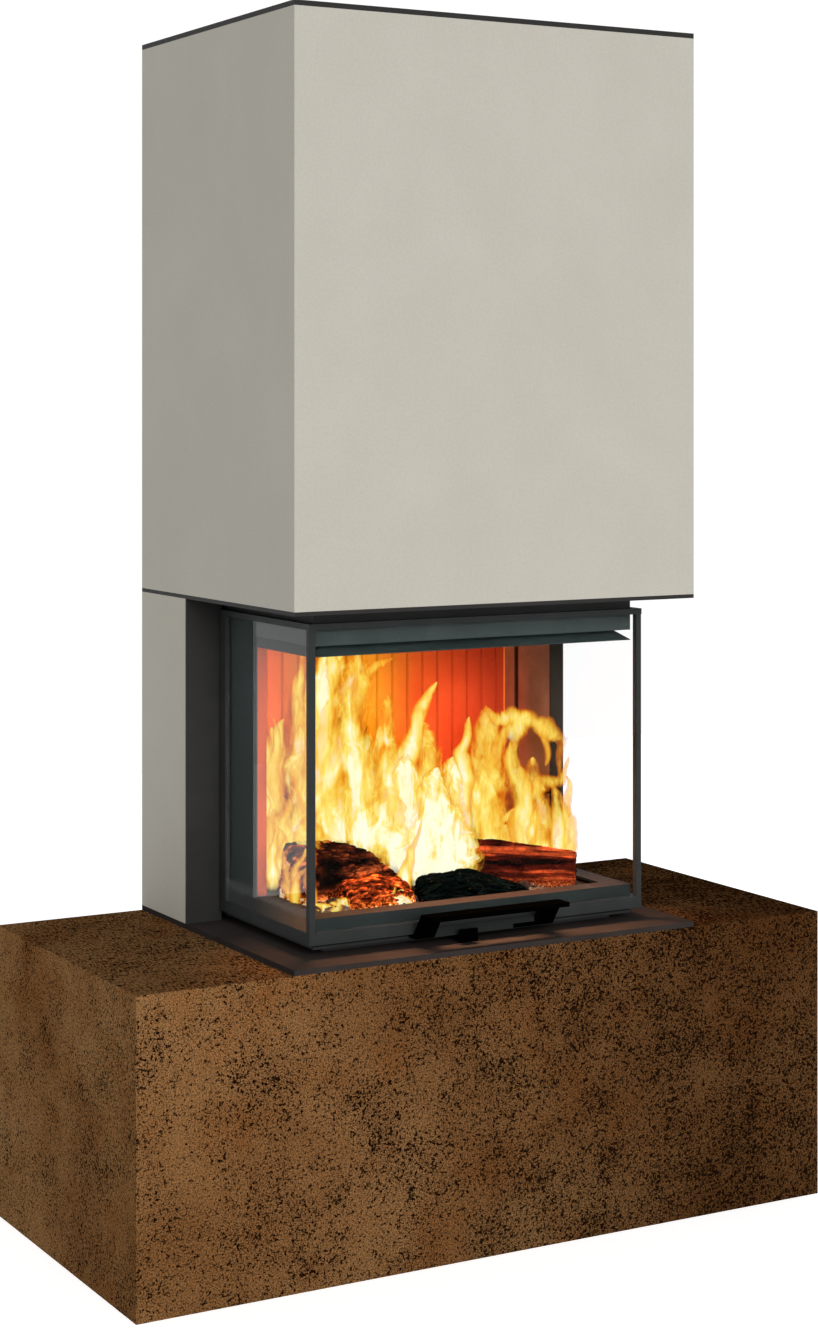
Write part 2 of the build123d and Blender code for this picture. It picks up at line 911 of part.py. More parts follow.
def door_handle():
    end = handle_length / 2
    grip_front = front + handle_grip_inset
    grip_back = grip_front + handle_grip_depth
    grip_top = door_bottom + handle_grip_rise
    grip_bottom = grip_top - handle_sheet
    fold = door_front - handle_fold_gap
    foot_bottom = door_bottom - handle_sheet
    profile = [
        (grip_front, grip_bottom),
        (grip_front, grip_top),
        (grip_back, grip_top),
        (fold, door_bottom),
        (door_front + rail_width, door_bottom),
        (door_front + rail_width, foot_bottom),
        (fold - handle_sheet, foot_bottom),
        (grip_back - handle_sheet, grip_bottom),
    ]
    sheet = prism_x(profile, -end, end)
    window = end - handle_leg_width
    sheet -= block(-window, window, grip_back, fold - handle_sheet, foot_bottom, grip_top)
    corners = sheet.edges().filter_by(Axis.Z).group_by(Axis.Y)[0]
    return chamfer(corners, handle_edge)


def right_rod():
    return cylinder_z(rod_x, rod_y, hearth_top, arm_bottom, rod_radius)


def right_pulley():
    rim = pulley_radius + pulley_flange
    half_width = pulley_width / 2
    floor = pulley_radius - cable_radius - groove_clearance
    bore = axle_radius + axle_clearance
    opening = half_width - pulley_lip
    half_profile = [
        (bore, -half_width),
        (rim, -half_width),
        (rim, -opening),
        (floor, -cable_radius),
        (floor, cable_radius),
        (rim, opening),
        (rim, half_width),
        (bore, half_width),
    ]
    wheel = revolve(Plane.XZ * outline(half_profile), axis=Axis.Z)
    hole = Cylinder(pulley_hole_radius, pulley_width)
    for place in PolarLocations(pulley_hole_circle, pulley_holes):
        wheel -= place * hole
    return Pos(rod_x, pulley_y, pulley_z) * Rot(0, 90, 0) * wheel


def right_door_cable():
    return cylinder_z(rod_x, cable_y, door_top - bush_inset, pulley_z, cable_radius)


def right_cable_bend():
    section = Plane.XZ * (Pos(pulley_radius, 0) * Circle(cable_radius))
    half_ring = revolve(section, axis=Axis.Z, revolution_arc=180)
    return Pos(rod_x, pulley_y, pulley_z) * (Plane.YZ * half_ring)


def right_weight_cable():
    return cylinder_z(rod_x, weight_y, weight_top, pulley_z, cable_radius)


def right_counterweight():
    side = weight_width / 2
    deep = weight_depth / 2
    bottom = weight_top - weight_height
    bar = block(rod_x - side, rod_x + side, weight_y - deep, weight_y + deep, bottom, weight_top)
    return chamfer(bar.edges().group_by(Axis.Z)[0], weight_edge)


def split_log(length, radius, bark_in_front, yaw, share, front_y):
    # a wedge of a round log that lies on one of the two cleft faces that meet at the pith
    first_face = 180 - log_opening if bark_in_front else 0
    sections = []
    for along, taper in ((-0.5, 1.0), (0.0, 0.94), (0.5, 0.86)):
        bark = CenterArc((0, 0), radius * taper, first_face, log_opening)
        cleft = Polyline(bark @ 1, (0, 0), bark @ 0)
        sections.append(Pos(along * length, 0, 0) * (Plane.YZ * make_face(bark + cleft)))
    log = Rot(0, 0, yaw) * loft(sections, ruled=True)
    box = log.bounding_box()
    place_x = share * lining_inner - box.center().X
    return Pos(place_x, front_y - box.min.Y, floor_top - box.min.Z) * log


os.makedirs("parts", exist_ok=True)

save("bench_top_slab", bench_top_slab())
save("bench_front_slab", bench_front_slab())
save("bench_right_slab", bench_right_slab())
save("bench_left_slab", mirrored(bench_right_slab()))
save("bench_back_board", bench_back_board())
save("bench_frame", bench_frame())
save("levelling_feet", *levelling_feet())

save("hearth_plate", hearth_plate())
save("column_right_panel", column_right_panel())
save("column_left_panel", mirrored(column_right_panel()))
save("right_jamb", right_jamb())
save("left_jamb", mirrored(right_jamb()))
save("hood_trim", hood_trim())
save("hood_front_panel", hood_front_panel())
save("hood_right_panel", hood_right_panel())
save("hood_left_panel", mirrored(hood_right_panel()))
save("rear_cover", rear_cover())
save("hood_top_plate", hood_top_plate())
save("hood_frame", hood_frame())

save("insert_stand", insert_stand())
save("air_box", air_box())
save("air_duct", air_duct())
save("sill_frame", *sill_frame())
save("floor_bricks", *floor_bricks())
save("grate", grate())
save("ash_pan", ash_pan())
save("firebox_shell", firebox_shell())
save("corner_posts", *pair(right_post()))
save("side_linings", *[slab for lining in right_linings() for slab in pair(lining)])
save("back_lining", *back_lining())
save("upper_frame", *upper_frame())
save("air_deflector", *air_deflector())
save("lower_baffle", lower_baffle())
save("upper_baffle", upper_baffle())
save("smoke_box", smoke_box())
save("flue_elbow", flue_elbow())

save("air_lever", air_lever())
save("air_shutter", air_shutter())

save("door_bottom_rail", *door_bottom_rail())
save("door_top_rail", *door_top_rail())
save("door_corner_bars", *pair(door_corner_bar()))
save("door_stiles", *pair(right_stile()))
save("front_glass", front_glass())
save("right_glass", right_glass())
save("left_glass", mirrored(right_glass()))
save("door_handle", door_handle())
save("door_seals", *door_seals())
save("guide_bushes", *[bush for side in right_bushes() for bush in pair(side)])

save("guide_rods", *pair(right_rod()))
save("right_pulley", right_pulley())
save("left_pulley", mirrored(right_pulley()))
save("door_cables", *pair(right_door_cable()))
save("cable_bends", *pair(right_cable_bend()))
save("weight_cables", *pair(right_weight_cable()))
save("right_counterweight", right_counterweight())
save("left_counterweight", mirrored(right_counterweight()))

right_log_front = log_front + right_log_setback
left_log_front = log_front + left_log_setback
save("right_log", split_log(right_log_length, right_log_radius, False, -34, right_log_share, right_log_front))
save("front_log", split_log(front_log_length, front_log_radius, True, -5, front_log_share, log_front))
save("left_log", split_log(left_log_length, left_log_radius, True, 8, left_log_share, left_log_front))
save("ember_log", split_log(ember_log_length, ember_log_radius, True, 3, ember_log_share, log_front))
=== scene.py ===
import math
import random
import bpy
import bmesh
from mathutils import Matrix, Vector, noise
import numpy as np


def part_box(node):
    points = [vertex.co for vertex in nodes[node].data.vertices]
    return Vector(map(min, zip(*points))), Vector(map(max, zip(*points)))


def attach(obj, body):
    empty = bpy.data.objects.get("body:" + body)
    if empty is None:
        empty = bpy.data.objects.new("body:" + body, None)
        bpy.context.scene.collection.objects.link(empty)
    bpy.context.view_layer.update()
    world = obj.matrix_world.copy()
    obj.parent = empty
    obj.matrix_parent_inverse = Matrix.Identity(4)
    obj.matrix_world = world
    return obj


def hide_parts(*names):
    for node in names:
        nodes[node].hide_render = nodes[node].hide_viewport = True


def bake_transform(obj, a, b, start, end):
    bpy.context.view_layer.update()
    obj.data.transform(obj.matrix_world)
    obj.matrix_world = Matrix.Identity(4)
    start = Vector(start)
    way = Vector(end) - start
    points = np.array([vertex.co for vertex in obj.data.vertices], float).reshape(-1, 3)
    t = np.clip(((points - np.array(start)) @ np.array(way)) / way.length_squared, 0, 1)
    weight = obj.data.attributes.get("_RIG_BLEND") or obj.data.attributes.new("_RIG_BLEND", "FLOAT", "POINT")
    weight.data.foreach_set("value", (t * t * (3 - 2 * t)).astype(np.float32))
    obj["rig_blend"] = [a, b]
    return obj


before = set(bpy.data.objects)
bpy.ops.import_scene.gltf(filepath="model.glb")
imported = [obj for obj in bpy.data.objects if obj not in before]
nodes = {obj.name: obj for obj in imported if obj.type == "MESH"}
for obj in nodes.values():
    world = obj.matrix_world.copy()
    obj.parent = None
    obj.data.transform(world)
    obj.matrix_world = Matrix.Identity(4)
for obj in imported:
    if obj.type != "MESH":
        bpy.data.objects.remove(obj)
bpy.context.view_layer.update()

scene = bpy.context.scene
scene.view_settings.view_transform = "Standard"
print("frame loaded,", len(nodes), "nodes")


# small helpers for node trees

def tone(red, green, blue):  # screen colour, 0 to 255
    parts = [value / 255 for value in (red, green, blue)]
    return tuple(p / 12.92 if p <= 0.04045 else ((p + 0.055) / 1.055) ** 2.4 for p in parts) + (1.0,)


def newLook(name, roughness=0.6, metallic=0.0, specular=0.5):
    look = bpy.data.materials.new(name)
    look.use_nodes = True
    shader = look.node_tree.nodes["Principled BSDF"]
    shader.inputs["Roughness"].default_value = roughness
    shader.inputs["Metallic"].default_value = metallic
    shader.inputs["Specular IOR Level"].default_value = specular
    return look, look.node_tree, shader


def addNode(tree, kind, values=None, **settings):
    made = tree.nodes.new("ShaderNode" + kind)
    for name, value in settings.items():
        setattr(made, name, value)
    for name, value in (values or {}).items():
        made.inputs[name].default_value = value
    return made


def wire(tree, value, socket):  # a number is set, an output is linked
    if isinstance(value, bpy.types.NodeSocket):
        tree.links.new(value, socket)
    else:
        socket.default_value = value


def place(tree, stretch=(1, 1, 1), shift=(0, 0, 0), turn=(0, 0, 0)):
    spot = addNode(tree, "TexCoord").outputs["Object"]
    # turned before it is stretched
    for values in ({"Rotation": turn}, {"Scale": stretch, "Location": shift}):
        lay = addNode(tree, "Mapping", values)
        tree.links.new(spot, lay.inputs["Vector"])
        spot = lay.outputs["Vector"]
    return spot


def axes(tree):  # x, y and z of each spot
    made = addNode(tree, "SeparateXYZ")
    tree.links.new(place(tree), made.inputs["Vector"])
    return made.outputs


def grain(tree, scale, detail=4.0, roughness=0.55, distortion=0.0, **laid):
    made = addNode(tree, "TexNoise", {
        "Scale": scale, "Detail": detail, "Roughness": roughness, "Distortion": distortion,
    })
    tree.links.new(place(tree, **laid), made.inputs["Vector"])
    return made.outputs["Fac"]


def cells(tree, scale):
    made = addNode(tree, "TexVoronoi", {"Scale": scale})
    tree.links.new(place(tree), made.inputs["Vector"])
    return made.outputs["Distance"]


def ramp(tree, factor, *marks):
    made = addNode(tree, "ValToRGB")
    band = made.color_ramp.elements
    band.remove(band[1])
    band[0].position, band[0].color = marks[0]
    for spot, colour in marks[1:]:
        band.new(spot).color = colour
    tree.links.new(factor, made.inputs["Fac"])
    return made.outputs["Color"]


def span(tree, factor, fromLow, fromHigh, low, high):
    made = addNode(tree, "MapRange", {
        "From Min": fromLow, "From Max": fromHigh, "To Min": low, "To Max": high,
    })
    tree.links.new(factor, made.inputs["Value"])
    return made.outputs["Result"]


def calc(tree, operation, first, second=0.0):
    made = addNode(tree, "Math", operation=operation)
    wire(tree, first, made.inputs[0])
    wire(tree, second, made.inputs[1])
    return made.outputs["Value"]


def blendColours(tree, factor, first, second, blend="MIX"):
    made = addNode(tree, "Mix", data_type="RGBA", blend_type=blend)
    wire(tree, factor, made.inputs[0])
    wire(tree, first, made.inputs[6])
    wire(tree, second, made.inputs[7])
    return made.outputs[2]


def emboss(tree, shader, height, strength, distance):
    made = addNode(tree, "Bump", {"Strength": strength, "Distance": distance})
    tree.links.new(height, made.inputs["Height"])
    tree.links.new(made.outputs["Normal"], shader.inputs["Normal"])


def stored(tree, name):  # a value kept on the mesh
    return addNode(tree, "Attribute", attribute_name=name).outputs["Fac"]


def grey(level):
    return (level, level, level, 1)


def shaded(colour, factor):  # the same colour, darker or lighter
    return tuple(part * factor for part in colour[:3]) + (1,)


def dress(look, *names):
    for name in names:
        for spot in nodes[name].material_slots:
            spot.material = look


def addPiece(name, bm, body, *looks, smooth=True, slot=None):
    mesh = bpy.data.meshes.new(name)
    bm.to_mesh(mesh)
    bm.free()
    for look in looks:
        mesh.materials.append(look)
    for face in mesh.polygons:
        face.use_smooth = smooth
    piece = bpy.data.objects.new(name, mesh)
    scene.collection.objects.link(piece)
    if body:
        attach(piece, body)
    return piece


# casing finishes

paleRender = {
    "shades": ((0.25, tone(188, 184, 172)), (0.5, tone(193, 189, 178)), (0.75, tone(198, 194, 183))),
    "cloud": 4.5, "trowel": 11, "trowelShare": 0.35, "sand": 260, "dust": 0.9, "dustShare": 0.8,
}


def renderLook():
    look, tree, shader = newLook("paleRender", specular=0.25)
    cloud = grain(tree, paleRender["cloud"], detail=5, roughness=0.62, distortion=0.4)
    trowel = grain(tree, paleRender["trowel"], detail=4, stretch=(1, 1, 0.45), shift=(3, 1, 2))
    sand = grain(tree, paleRender["sand"], detail=3)
    wiped = calc(tree, "MULTIPLY", trowel, paleRender["trowelShare"])
    mixed = calc(tree, "ADD", calc(tree, "MULTIPLY", cloud, 1 - paleRender["trowelShare"]), wiped)
    colour = ramp(tree, mixed, *paleRender["shades"])
    dust = ramp(tree, sand, (0.3, grey(paleRender["dust"])), (0.7, grey(1)))
    colour = blendColours(tree, paleRender["dustShare"], colour, dust, "MULTIPLY")
    tree.links.new(colour, shader.inputs["Base Color"])
    tree.links.new(span(tree, trowel, 0.3, 0.7, 0.72, 0.9), shader.inputs["Roughness"])
    emboss(tree, shader, sand, 0.12, 0.0006)
    return look


rustStone = {
    "shades": ((0.3, tone(124, 85, 49)), (0.5, tone(147, 107, 67)), (0.7, tone(162, 123, 80))),
    "speckColour": tone(24, 12, 5), "rust": tone(134, 80, 36), "shadeSide": tone(54, 22, 0),
    "cloud": 2.6, "patch": 11, "patchy": 0.27, "rustPatch": 9, "sand": 400, "sandLevels": (0.18, 1.24),
    "specks": (255, 470), "speckEdge": (0.575, 0.605), "sideSpan": (-0.5, 0.36), "sideSpecks": 0.05,
}


def stoneLook(name, darker=0.0, dim=1.0, rightShade=0.68, laid=(1, 1, 1)):
    look, tree, shader = newLook(name, specular=0.0)
    cloud = grain(tree, rustStone["cloud"], detail=6, roughness=0.6, distortion=0.5)
    patch = grain(tree, rustStone["patch"], detail=6, roughness=0.7, shift=(4.2, 0.6, 1.4))
    sizes = rustStone["specks"]
    coarse, fine = [grain(tree, size, detail=3, roughness=0.6, stretch=laid) for size in sizes]
    speck = calc(tree, "MAXIMUM", coarse, fine)
    sand = grain(tree, rustStone["sand"], detail=3, roughness=0.7, stretch=laid, shift=(1, 3, 2))
    rust = grain(tree, rustStone["rustPatch"], detail=4, shift=(7, 2, 5))
    colour = ramp(tree, cloud, *rustStone["shades"])
    colour = blendColours(tree, span(tree, rust, 0.5, 0.75, 0.0, 0.5), colour, rustStone["rust"])
    side = span(tree, axes(tree)["X"], *rustStone["sideSpan"], 0.0, 1.0)  # painted shade, darker towards the right
    colour = blendColours(tree, calc(tree, "MULTIPLY", side, rightShade), colour, rustStone["shadeSide"])
    low, high = [level * dim for level in rustStone["sandLevels"]]
    dusty = ramp(tree, sand, (0.34, grey(low)), (0.6, grey(high)))
    colour = blendColours(tree, 1.0, colour, dusty, "MULTIPLY")
    level = calc(tree, "MULTIPLY", calc(tree, "SUBTRACT", patch, 0.5), rustStone["patchy"])
    # more dark specks towards the right, part of the painted shade
    level = calc(tree, "ADD", level, calc(tree, "MULTIPLY", side, rustStone["sideSpecks"]))
    level = calc(tree, "ADD", calc(tree, "ADD", speck, level), darker)
    dark = span(tree, level, *rustStone["speckEdge"], 0.0, 1.0)
    colour = blendColours(tree, dark, colour, rustStone["speckColour"])
    tree.links.new(colour, shader.inputs["Base Color"])
    tree.links.new(span(tree, sand, 0.3, 0.7, 0.7, 0.9), shader.inputs["Roughness"])
    emboss(tree, shader, calc(tree, "SUBTRACT", sand, dark), 0.15, 0.0006)
    return look


stovePaint = {"fleck": 1500, "cloud": 14, "scuff": 60, "spread": 0.16, "sheen": 0.08}


def paintLook(name, colour, roughness=0.55, specular=0.18):
    look, tree, shader = newLook(name, specular=specular)
    fleck = grain(tree, stovePaint["fleck"], detail=2)
    cloud = grain(tree, stovePaint["cloud"], detail=5, roughness=0.65)
    dim = shaded(colour, 1 - stovePaint["spread"])
    lit = shaded(colour, 1 + stovePaint["spread"])
    tree.links.new(ramp(tree, cloud, (0.3, dim), (0.7, lit)), shader.inputs["Base Color"])
    scuff = grain(tree, stovePaint["scuff"], detail=6, roughness=0.7, stretch=(1, 1, 3))
    sheen = stovePaint["sheen"]
    rubbed = span(tree, scuff, 0.3, 0.75, roughness + sheen, roughness - sheen)
    tree.links.new(rubbed, shader.inputs["Roughness"])
    emboss(tree, shader, fleck, 0.03, 0.0003)
    return look


def paintZone(look, colour, *limits):  # another paint where x, y or z is past every limit
    tree = look.node_tree
    socket = tree.nodes["Principled BSDF"].inputs["Base Color"]
    spot = axes(tree)
    inside = 1.0
    for axis, operation, limit in limits:
        inside = calc(tree, "MULTIPLY", inside, calc(tree, operation, spot[axis], limit))
    tree.links.new(blendColours(tree, inside, socket.links[0].from_socket, colour), socket)


bareMetal = {"dim": 0.72, "lines": 0.4, "crystals": 0.8, "smoother": 0.08, "rougher": 0.12}


def metalLook(name, colour, roughness, brush=(1, 1, 1), scale=220, spangle=0):
    look, tree, shader = newLook(name, metallic=1.0)
    lines = grain(tree, scale, detail=4, roughness=0.6, stretch=brush)
    if spangle:
        crystal = calc(tree, "MULTIPLY", cells(tree, spangle), bareMetal["crystals"])
        lines = calc(tree, "ADD", calc(tree, "MULTIPLY", lines, bareMetal["lines"]), crystal)
    dim = shaded(colour, bareMetal["dim"])
    tree.links.new(ramp(tree, lines, (0.25, dim), (0.75, colour)), shader.inputs["Base Color"])
    smooth, rough = roughness - bareMetal["smoother"], roughness + bareMetal["rougher"]
    tree.links.new(span(tree, lines, 0.2, 0.8, smooth, rough), shader.inputs["Roughness"])
    emboss(tree, shader, lines, 0.08, 0.0003)
    return look


castIron = {
    "shades": ((0.3, tone(22, 21, 20)), (0.7, tone(58, 56, 54))), "rust": tone(78, 48, 32),
    "pits": 420, "rustPatch": 24, "rustShare": 0.4,
}


def castLook():
    look, tree, shader = newLook("castIron", metallic=0.6)
    pits = grain(tree, castIron["pits"], detail=5, roughness=0.7)
    rust = grain(tree, castIron["rustPatch"], detail=6, roughness=0.7)
    colour = ramp(tree, pits, *castIron["shades"])
    rusty = span(tree, rust, 0.55, 0.8, 0.0, castIron["rustShare"])
    colour = blendColours(tree, rusty, colour, castIron["rust"])
    tree.links.new(colour, shader.inputs["Base Color"])
    tree.links.new(span(tree, pits, 0.3, 0.7, 0.8, 0.6), shader.inputs["Roughness"])
    emboss(tree, shader, pits, 0.4, 0.0008)
    return look


cementBoard = {
    "shades": ((0.3, tone(158, 150, 134)), (0.7, tone(184, 177, 162))), "fleck": (0.82, 0.8, 0.78, 1),
    "fibre": 130, "stain": 5,
}


def boardLook():
    look, tree, shader = newLook("cementBoard", specular=0.2)
    fibre = grain(tree, cementBoard["fibre"], detail=6, roughness=0.7, stretch=(0.35, 1, 1))
    stain = grain(tree, cementBoard["stain"], detail=5)
    colour = ramp(tree, stain, *cementBoard["shades"])
    flecked = ramp(tree, fibre, (0.3, cementBoard["fleck"]), (0.65, grey(1)))
    tree.links.new(blendColours(tree, 1.0, colour, flecked, "MULTIPLY"), shader.inputs["Base Color"])
    tree.links.new(span(tree, fibre, 0.3, 0.7, 0.75, 0.92), shader.inputs["Roughness"])
    emboss(tree, shader, fibre, 0.2, 0.0006)
    return look


# firebox finishes

lining = {
    "back": ((0.25, tone(140, 64, 28)), (0.5, tone(164, 79, 36)), (0.75, tone(180, 94, 46))),
    "side": ((0.25, tone(120, 86, 72)), (0.5, tone(146, 106, 88)), (0.75, tone(162, 123, 104))),
    "soot": tone(48, 33, 26), "jointSoot": tone(20, 14, 12), "cornerGlint": tone(240, 168, 96),
    "bleached": tone(178, 124, 48), "bleachedSpan": (0.04, 0.13), "fireMiddle": -0.04,
    "dull": tone(148, 53, 32), "dullSpan": (0.06, 0.24),
    "joint": (0.1055, 0.009), "corner": (0.1415, 0.1425),
    "cloud": 9, "smoke": 5, "pore": 520, "poreColour": (0.78, 0.76, 0.74, 1),
}


def liningLook(name, shades, soot):
    look, tree, shader = newLook(name, specular=0.05)
    cloud = grain(tree, lining["cloud"], detail=6, roughness=0.65)
    pore = grain(tree, lining["pore"], detail=3)
    smoke = grain(tree, lining["smoke"], detail=5, roughness=0.7, stretch=(1, 1, 0.4), shift=(2, 5, 1))
    colour = ramp(tree, cloud, *lining[shades])
    colour = blendColours(tree, span(tree, smoke, 0.45, 0.8, 0.0, soot), colour, lining["soot"])
    spot = axes(tree)
    if shades == "back":  # bleached behind the fire, duller to its right
        away = calc(tree, "ABSOLUTE", calc(tree, "SUBTRACT", spot["X"], lining["fireMiddle"]))
        bleach = span(tree, away, *lining["bleachedSpan"], 0.8, 0.0)
        colour = blendColours(tree, bleach, colour, lining["bleached"])
        dull = span(tree, spot["X"], *lining["dullSpan"], 0.0, 0.7)
        colour = blendColours(tree, dull, colour, lining["dull"])
    else:  # soot along the joint, a painted highlight on the rear corner
        jointY, jointWide = lining["joint"]
        away = calc(tree, "ABSOLUTE", calc(tree, "SUBTRACT", spot["Y"], jointY))
        colour = blendColours(tree, span(tree, away, 0.0, jointWide, 1.6, 0.0), colour, lining["jointSoot"])
        # painted highlight along the rear corner
        cornerGlint = span(tree, spot["Y"], *lining["corner"], 0.0, 0.9)
        colour = blendColours(tree, cornerGlint, colour, lining["cornerGlint"])
    specks = ramp(tree, pore, (0.3, lining["poreColour"]), (0.6, grey(1)))
    tree.links.new(blendColours(tree, 0.8, colour, specks, "MULTIPLY"), shader.inputs["Base Color"])
    tree.links.new(span(tree, pore, 0.3, 0.7, 0.95, 0.8), shader.inputs["Roughness"])
    emboss(tree, shader, pore, 0.15, 0.0008)
    return look


pane = {
    "tint": (0.998, 0.999, 0.999, 1), "smear": (0.985, 0.988, 0.988, 1), "smearSize": 6,
    "film": (0.535, 0.515), "glowCorner": (-0.02, -0.2), "filmShare": (0.12, 0.36),
    "filmAndGlowColours": (tone(150, 152, 152), tone(188, 152, 122)),
}


def glassLook(name, refraction, filmed):
    look, tree, shader = newLook(name, roughness=0.0)
    smear = grain(tree, pane["smearSize"], detail=4, roughness=0.6)
    colour = blendColours(tree, span(tree, smear, 0.45, 0.8, 0.0, 1.0), pane["tint"], pane["smear"])
    shader.inputs["Transmission Weight"].default_value = 1.0
    if filmed:  # smoke film low on the pane, with painted fire glow in amber towards its front corner
        spot = axes(tree)
        low = span(tree, spot["Z"], *pane["film"], 0.0, 1.0)
        front = calc(tree, "MULTIPLY", low, span(tree, spot["Y"], *pane["glowCorner"], 0.0, 1.0))
        share = calc(tree, "MULTIPLY", low, span(tree, front, 0.0, 1.0, *pane["filmShare"]))
        filmAndGlow = blendColours(tree, front, *pane["filmAndGlowColours"])
        colour = blendColours(tree, low, colour, filmAndGlow)
        tree.links.new(calc(tree, "SUBTRACT", 1.0, share), shader.inputs["Transmission Weight"])
    tree.links.new(colour, shader.inputs["Base Color"])
    shader.inputs["IOR"].default_value = refraction
    path = addNode(tree, "LightPath")  # so that lamps shine straight through
    clear = addNode(tree, "BsdfTransparent", {"Color": pane["tint"]})
    pick = addNode(tree, "MixShader")
    tree.links.new(path.outputs["Is Shadow Ray"], pick.inputs["Fac"])
    tree.links.new(shader.outputs["BSDF"], pick.inputs[1])
    tree.links.new(clear.outputs["BSDF"], pick.inputs[2])
    tree.links.new(pick.outputs["Shader"], tree.nodes["Material Output"].inputs["Surface"])
    return look


def twill(tree, values):  # slanting strands
    made = addNode(tree, "TexWave", values, bands_direction="DIAGONAL")
    tree.links.new(place(tree), made.inputs["Vector"])
    return made.outputs["Fac"]


tape = {
    "weave": {"Scale": 260, "Distortion": 1.5, "Detail": 2},
    "shades": ((0.2, tone(20, 20, 20)), (0.8, tone(52, 51, 50))),
}


def tapeLook():
    look, tree, shader = newLook("sealTape", specular=0.2)
    weave = twill(tree, tape["weave"])
    tree.links.new(ramp(tree, weave, *tape["shades"]), shader.inputs["Base Color"])
    tree.links.new(span(tree, weave, 0, 1, 0.95, 0.8), shader.inputs["Roughness"])
    emboss(tree, shader, weave, 0.4, 0.0006)
    return look


paleLook = renderLook()
dress(paleLook, "hood_front_panel", "hood_left_panel", "hood_right_panel")
dress(paleLook, "column_left_panel", "column_right_panel")
dress(stoneLook("rustStone"), "bench_front_slab", "bench_left_slab", "bench_right_slab")
# the top slab is a darker copy of the stone: a few more dark specks, and dimmed as painted shade
dress(stoneLook("rustStoneTop", 0.01, 0.68, 0.45, (1, 0.28, 1)), "bench_top_slab")
dress(boardLook(), "bench_back_board")

black = tone(2, 2, 2)
doorGrey = tone(45, 47, 47)
trimLook = paintLook("blackTrim", tone(39, 38, 37), 0.6)
hearthLook = paintLook("hearthPaint", tone(53, 48, 46), 0.55, 0.0)
frameLook = paintLook("doorPaint", doorGrey, 0.5, 0.14)
jambLook = paintLook("jambPaint", tone(42, 41, 40), 0.55)
fireboxLook = paintLook("fireboxPaint", tone(45, 52, 51), 0.6, 0.06)
handleLook = paintLook("handlePaint", black, 0.75, 0.0)
dress(trimLook, "hood_trim", "hood_top_plate")
dress(hearthLook, "hearth_plate")
dress(jambLook, "left_jamb", "right_jamb")
dress(frameLook, "door_bottom_rail", "door_top_rail", "door_corner_bars", "door_stiles")
dress(handleLook, "air_lever")
gripLook = paintLook("gripPaint", black, 0.75, 0.0)
foldAcross = (("X", "GREATER_THAN", -0.088), ("X", "LESS_THAN", 0.088))  # between the legs
paintZone(gripLook, doorGrey, ("Z", "LESS_THAN", 0.4895), *foldAcross)  # painted with the door
paintZone(gripLook, black, ("Z", "LESS_THAN", 0.4805), ("X", "GREATER_THAN", 0.05))
dress(gripLook, "door_handle")
dress(fireboxLook, "upper_frame", "firebox_shell")
sillLook = paintLook("sillPaint", tone(30, 35, 34), 0.6, 0.04)
paintZone(sillLook, tone(40, 34, 32), ("Z", "GREATER_THAN", 0.5155))  # painted fire light, warmer and lighter on top
dress(sillLook, "sill_frame")
dress(paintLook("deflectorPaint", tone(37, 45, 44), 0.6, 0.04), "air_deflector")
postLook = paintLook("postPaint", tone(41, 36, 31), 0.6, 0.04)
paintZone(postLook, tone(47, 54, 53), ("X", "LESS_THAN", 0.0))
glowingPostFront = (  # inner half of the left post's front, faced like the lining and painted with fire glow
    ("X", "GREATER_THAN", -0.2735), ("X", "LESS_THAN", 0.0),
    ("Y", "LESS_THAN", 0.002), ("Z", "LESS_THAN", 0.9),
)
# painted fire glow on the left post's front, in the colour of lit lining
paintZone(postLook, tone(186, 78, 36), *glowingPostFront)
dress(postLook, "corner_posts")
dress(paintLook("casingPaint", tone(48, 48, 48), 0.6), "insert_stand", "air_box", "smoke_box", "flue_elbow")

zincLook = metalLook("galvanised", tone(178, 181, 184), 0.45, scale=90, spangle=70)
tubeLook = metalLook("millSteel", tone(120, 121, 123), 0.5, scale=160)
groundLook = metalLook("groundSteel", tone(176, 178, 180), 0.3, brush=(1, 1, 40), scale=40)
bronzeLook = metalLook("bronze", tone(166, 124, 68), 0.4, scale=700)
dress(zincLook, "rear_cover", "air_duct", "ash_pan", "air_shutter")
dress(tubeLook, "bench_frame", "hood_frame")
dress(groundLook, "levelling_feet", "guide_rods", "right_pulley", "left_pulley")
dress(bronzeLook, "guide_bushes")
dress(castLook(), "grate", "right_counterweight", "left_counterweight")
dress(liningLook("backLining", "back", 0.2), "back_lining")
dress(liningLook("sideLining", "side", 0.45), "side_linings", "lower_baffle", "upper_baffle")
dress(liningLook("floorBrick", "side", 0.9), "floor_bricks")
dress(glassLook("ceramicGlass", 1.01, False), "front_glass")  # hardly mirrors the room
dress(glassLook("leftGlass", 1.2, True), "left_glass")
dress(glassLook("rightGlass", 1.2, False), "right_glass")
dress(tapeLook(), "door_seals")
print("finishes on the CAD nodes done")


# lift cables, which run with the door and the weights

cable = {
    "radius": 0.002, "sides": 8, "strands": {"Scale": 160, "Distortion": 0.4, "Detail": 1},
    "shades": ((0.2, tone(70, 70, 72)), (0.7, tone(160, 161, 163))),
}


def cableLook():
    look, tree, shader = newLook("wireRope", metallic=1.0)
    strand = twill(tree, cable["strands"])
    tree.links.new(ramp(tree, strand, *cable["shades"]), shader.inputs["Base Color"])
    tree.links.new(span(tree, strand, 0, 1, 0.6, 0.4), shader.inputs["Roughness"])
    emboss(tree, shader, strand, 0.5, 0.0004)
    return look


